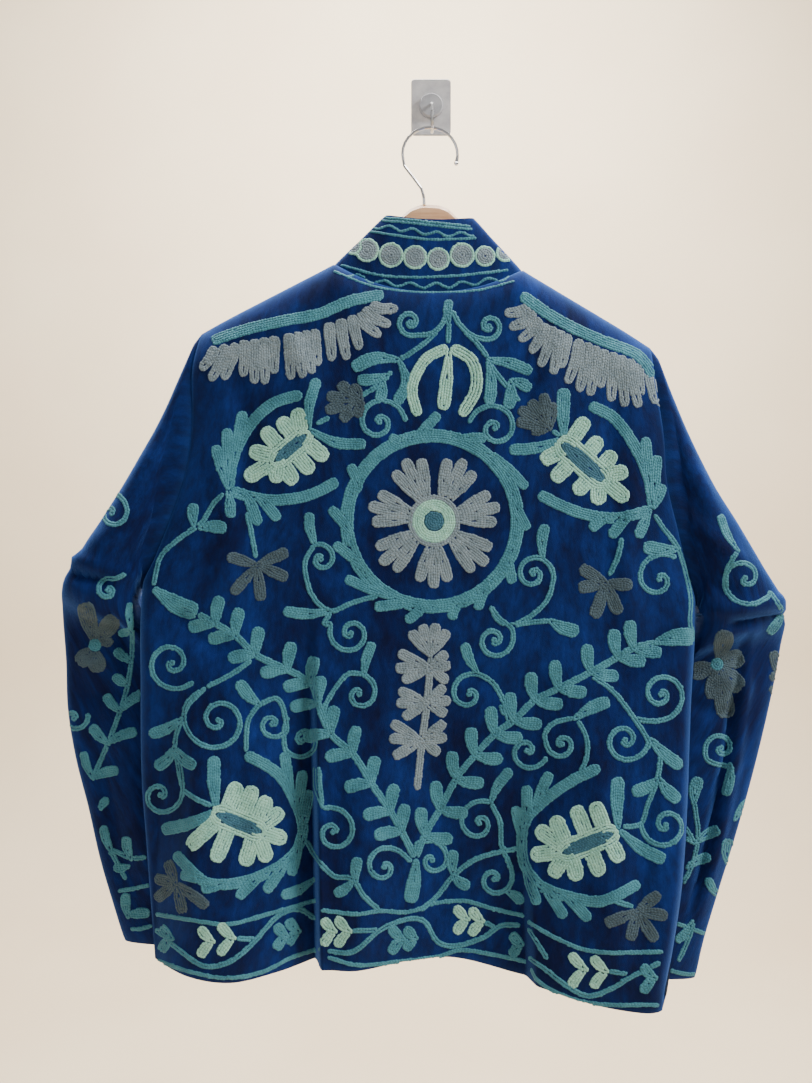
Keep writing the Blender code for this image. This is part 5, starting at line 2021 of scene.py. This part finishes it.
    def build(self, shape: StitchShape, finishes: dict) -> dict:
        """Make the stitches of each piece and colour as one mesh.

        Args:
            shape: The link that is repeated.
            finishes: Materials by name.

        Returns:
            Lists of thread pieces by CAD node.
        """
        points, faces = shape.model()
        chance = np.random.default_rng(self.seed)
        made = {}
        for (node, thread), runs in sorted(self.links.items(),
                                           key=lambda item: (item[0][0], item[0][1].value)):
            links = np.concatenate(runs)
            world, flat = self.placed(links, points, chance)
            count = len(links)
            index = faces[None] + (np.arange(count) * len(points))[:, None, None]
            name = f"{node}_{thread.value}"
            mesh = bpy.data.meshes.new(name)
            mesh.from_pydata((world * MM).tolist(), [], index.reshape(-1, 3).tolist())
            lay_uv(mesh, "thread", flat)
            mesh.materials.append(finishes[thread.value])
            mesh.shade_smooth()
            piece = put_in_scene(name, mesh)
            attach(piece, BODY)
            thread.slot()
            made.setdefault(node, []).append(piece)
            LOG.info("%s: %d links, %d triangles", name, count, count * len(faces))
        return made


@dataclass
class Jacket:
    """The six sewn pieces with their embroidery."""
    cut: GarmentCut = field(default_factory=GarmentCut)

    def pieces(self) -> dict:
        """Cloth pieces by CAD node, with their cut sizes."""
        cut = self.cut
        back = cut.back()
        left, right = cut.front(back, -1), cut.front(back, 1)
        mirrored = tuple(Crease(tuple((-x, z) for x, z in crease.points), 0.9 * crease.lift,
                                crease.width) for crease in FRONT_CREASES)
        hanger = ("hanger_body",)
        pieces = (
            ClothPiece("back_panel", back, False, 1, BACK_CREASES, (0.61, 0.74), 0.37, hanger),
            ClothPiece("left_front_panel", left, False, -1, mirrored, (0.30, 0.73), 0.185,
                       hanger),
            ClothPiece("right_front_panel", right, False, 1, FRONT_CREASES, (0.30, 0.73),
                       0.185, hanger),
            ClothPiece("left_sleeve", cut.sleeve(back, left, LEFT_RINGS, -1), True, 1,
                       SLEEVE_CREASES + LEFT_ELBOW_CREASES + (UNDERARM,), (0.50, 0.56),
                       0.15, hanger),
            ClothPiece("right_sleeve", cut.sleeve(back, right, RIGHT_RINGS, 1), True, -1,
                       SLEEVE_CREASES[:7] + RIGHT_ELBOW_CREASES + (UNDERARM,), (0.52, 0.58),
                       0.16, hanger),
            ClothPiece("collar", cut.collar(back, (left, right)), False, -1, COLLAR_CREASES,
                       (0.46, 0.08), 0.026, hanger),
        )
        return {piece.node: piece for piece in pieces}

    def build(self, finishes: dict) -> None:
        """Make the cloth and sew the pattern on it.

        Args:
            finishes: Materials by name.
        """
        pieces = self.pieces()
        for piece in pieces.values():
            piece.settle()
        needle = Needle(self.cut, pieces)
        needle.prepare()
        pattern = Embroidery()
        for face, nodes in ((Face.ROOM, ("back_panel", "collar")),
                            (Face.WALL, ("left_front_panel", "right_front_panel"))):
            needle.sew(pattern.draw_body(face), face, nodes)
        for face in Face:
            needle.sew(pattern.draw_sleeves(), face, ("left_sleeve", "right_sleeve"))
        threads = needle.build(StitchShape(), finishes)
        for node, piece in pieces.items():
            cloth = piece.build(self.cut, finishes)


@dataclass
class Hardware:
    """The hanger, its wire hook and the wall hook, which keep their CAD shapes."""
    wood: WoodFinish = field(default_factory=WoodFinish)
    chrome: MetalFinish = MetalFinish((0.82, 0.82, 0.84), 0.12)
    steel: MetalFinish = MetalFinish((0.70, 0.70, 0.72), 0.22)
    clear: ClearPlasticFinish = field(default_factory=ClearPlasticFinish)

    def dress(self) -> None:
        """Give each CAD node its finish."""
        finishes = {
            "hanger_body": self.wood.build("hanger_wood_grain"),
            "hanger_hook": self.chrome.build("hook_chrome_wire"),
            "wall_hook": self.steel.build("wall_hook_steel"),
            "wall_plate": self.clear.build("plate_clear_plastic"),
            "hook_boss": self.clear.build("boss_clear_plastic"),
        }
        for name, material in finishes.items():
            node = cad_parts[name]
            for slot in node.material_slots:
                slot.material = material
            LOG.info("%s dressed", name)


class Lamp(NamedTuple):
    """Soft square light: place, point that it faces, edge length, power and colour."""
    name: str
    place: tuple
    target: tuple
    size: float
    watts: float
    colour: tuple


GARMENT_MIDDLE = (0.0, -0.05, -0.5)
LAMPS = named(Lamp, (
    ("key", (1.9, -0.95, 0.9), GARMENT_MIDDLE, 0.8, 78.0, (1.0, 0.98, 0.95)),
    ("fill", (-1.6, -1.6, 0.2), GARMENT_MIDDLE, 1.8, 9.0, (0.96, 0.98, 1.0)),
    ("wall_wash", (0.0, 0.8, 1.9), (0.0, 3.0, -0.6), 2.4, 335.0, (1.0, 0.965, 0.91)),
    ("behind", (0.6, 1.6, 0.7), GARMENT_MIDDLE, 1.4, 14.0, (1.0, 0.98, 0.95)),
))


@dataclass
class Studio:
    """Pale sweep, soft lights and the camera."""
    eye: tuple = (-0.0271, -0.955, -0.4706)
    lens: float = 29.25
    sensor: float = 36.0
    nearest: float = 0.02
    floor_z: float = -1.9
    wall_y: float = 3.0
    wall_top: float = 2.6
    half_width: float = 4.5
    near_y: float = -4.0
    bend: float = 0.9
    bend_steps: int = 12
    room_colour: tuple = (1.0, 0.98, 0.95, 1.0)
    room_strength: float = 0.36

    def sweep(self, material: bpy.types.Material) -> None:
        """Pale floor that curves up into the backdrop."""
        profile = [(self.near_y, self.floor_z)]
        for i in range(self.bend_steps + 1):
            angle = 0.5 * math.pi * i / self.bend_steps
            profile.append((self.wall_y - self.bend * (1 - math.sin(angle)),
                            self.floor_z + self.bend * (1 - math.cos(angle))))
        profile.append((self.wall_y, self.wall_top))
        points = [(x, y, z) for y, z in profile for x in (-self.half_width, self.half_width)]
        faces = [(2 * i, 2 * i + 1, 2 * i + 3, 2 * i + 2) for i in range(len(profile) - 1)]
        mesh = bpy.data.meshes.new("studio_sweep")
        mesh.from_pydata(points, [], faces)
        mesh.materials.append(material)
        mesh.shade_smooth()
        floor = put_in_scene("studio_sweep", mesh)

    def light(self, lamp: Lamp) -> None:
        """Set up one light."""
        data = bpy.data.lights.new(lamp.name, "AREA")
        data.size = lamp.size
        data.energy = lamp.watts
        data.color = lamp.colour
        holder = put_in_scene(lamp.name, data)
        holder.location = lamp.place
        aim = Vector(lamp.target) - Vector(lamp.place)
        holder.rotation_euler = aim.to_track_quat("-Z", "Y").to_euler()

    def camera(self) -> None:
        """Camera at the photograph's place."""
        data = bpy.data.cameras.new("camera")
        data.lens = self.lens
        data.sensor_width = self.sensor
        data.sensor_fit = "AUTO"
        data.clip_start = self.nearest
        holder = put_in_scene("camera", data)
        holder.location = self.eye
        holder.rotation_euler = (math.pi / 2, 0.0, 0.0)
        bpy.context.scene.camera = holder

    def build(self) -> None:
        """Set up the studio."""
        self.sweep(PlasterFinish().build("studio_paint"))
        for lamp in LAMPS:
            self.light(lamp)
        world = bpy.data.worlds.new("soft_room")
        world.use_nodes = True
        background = world.node_tree.nodes["Background"]
        background.inputs["Color"].default_value = self.room_colour
        background.inputs["Strength"].default_value = self.room_strength
        bpy.context.scene.world = world
        self.camera()


# name of each thread's material, its colour and its darker shade
DYES = {
    Thread.TEAL: ("teal", (0.072, 0.275, 0.355), (0.042, 0.185, 0.250)),
    Thread.DEEP: ("deep_teal", (0.045, 0.16, 0.24), (0.028, 0.11, 0.175)),
    Thread.GREY: ("grey", (0.245, 0.325, 0.38), (0.165, 0.23, 0.275)),
    Thread.SLATE: ("slate", (0.064, 0.112, 0.148), (0.042, 0.076, 0.102)),
    Thread.MINT: ("mint", (0.375, 0.73, 0.60), (0.26, 0.57, 0.475)),
}


def main() -> None:
    """Build every piece in order."""
    logging.basicConfig(level=logging.INFO, format="%(name)s: %(message)s")
    Studio().build()
    finishes = {"velvet": VelvetFinish().build("blue_velvet"),
                "backing": BackingFinish().build("velvet_backing")}
    for thread, (name, colour, shade) in DYES.items():
        finishes[thread.value] = ThreadFinish(colour, shade).build(name)
    Jacket().build(finishes)
    Hardware().dress()


if __name__ == "__main__":
    main()
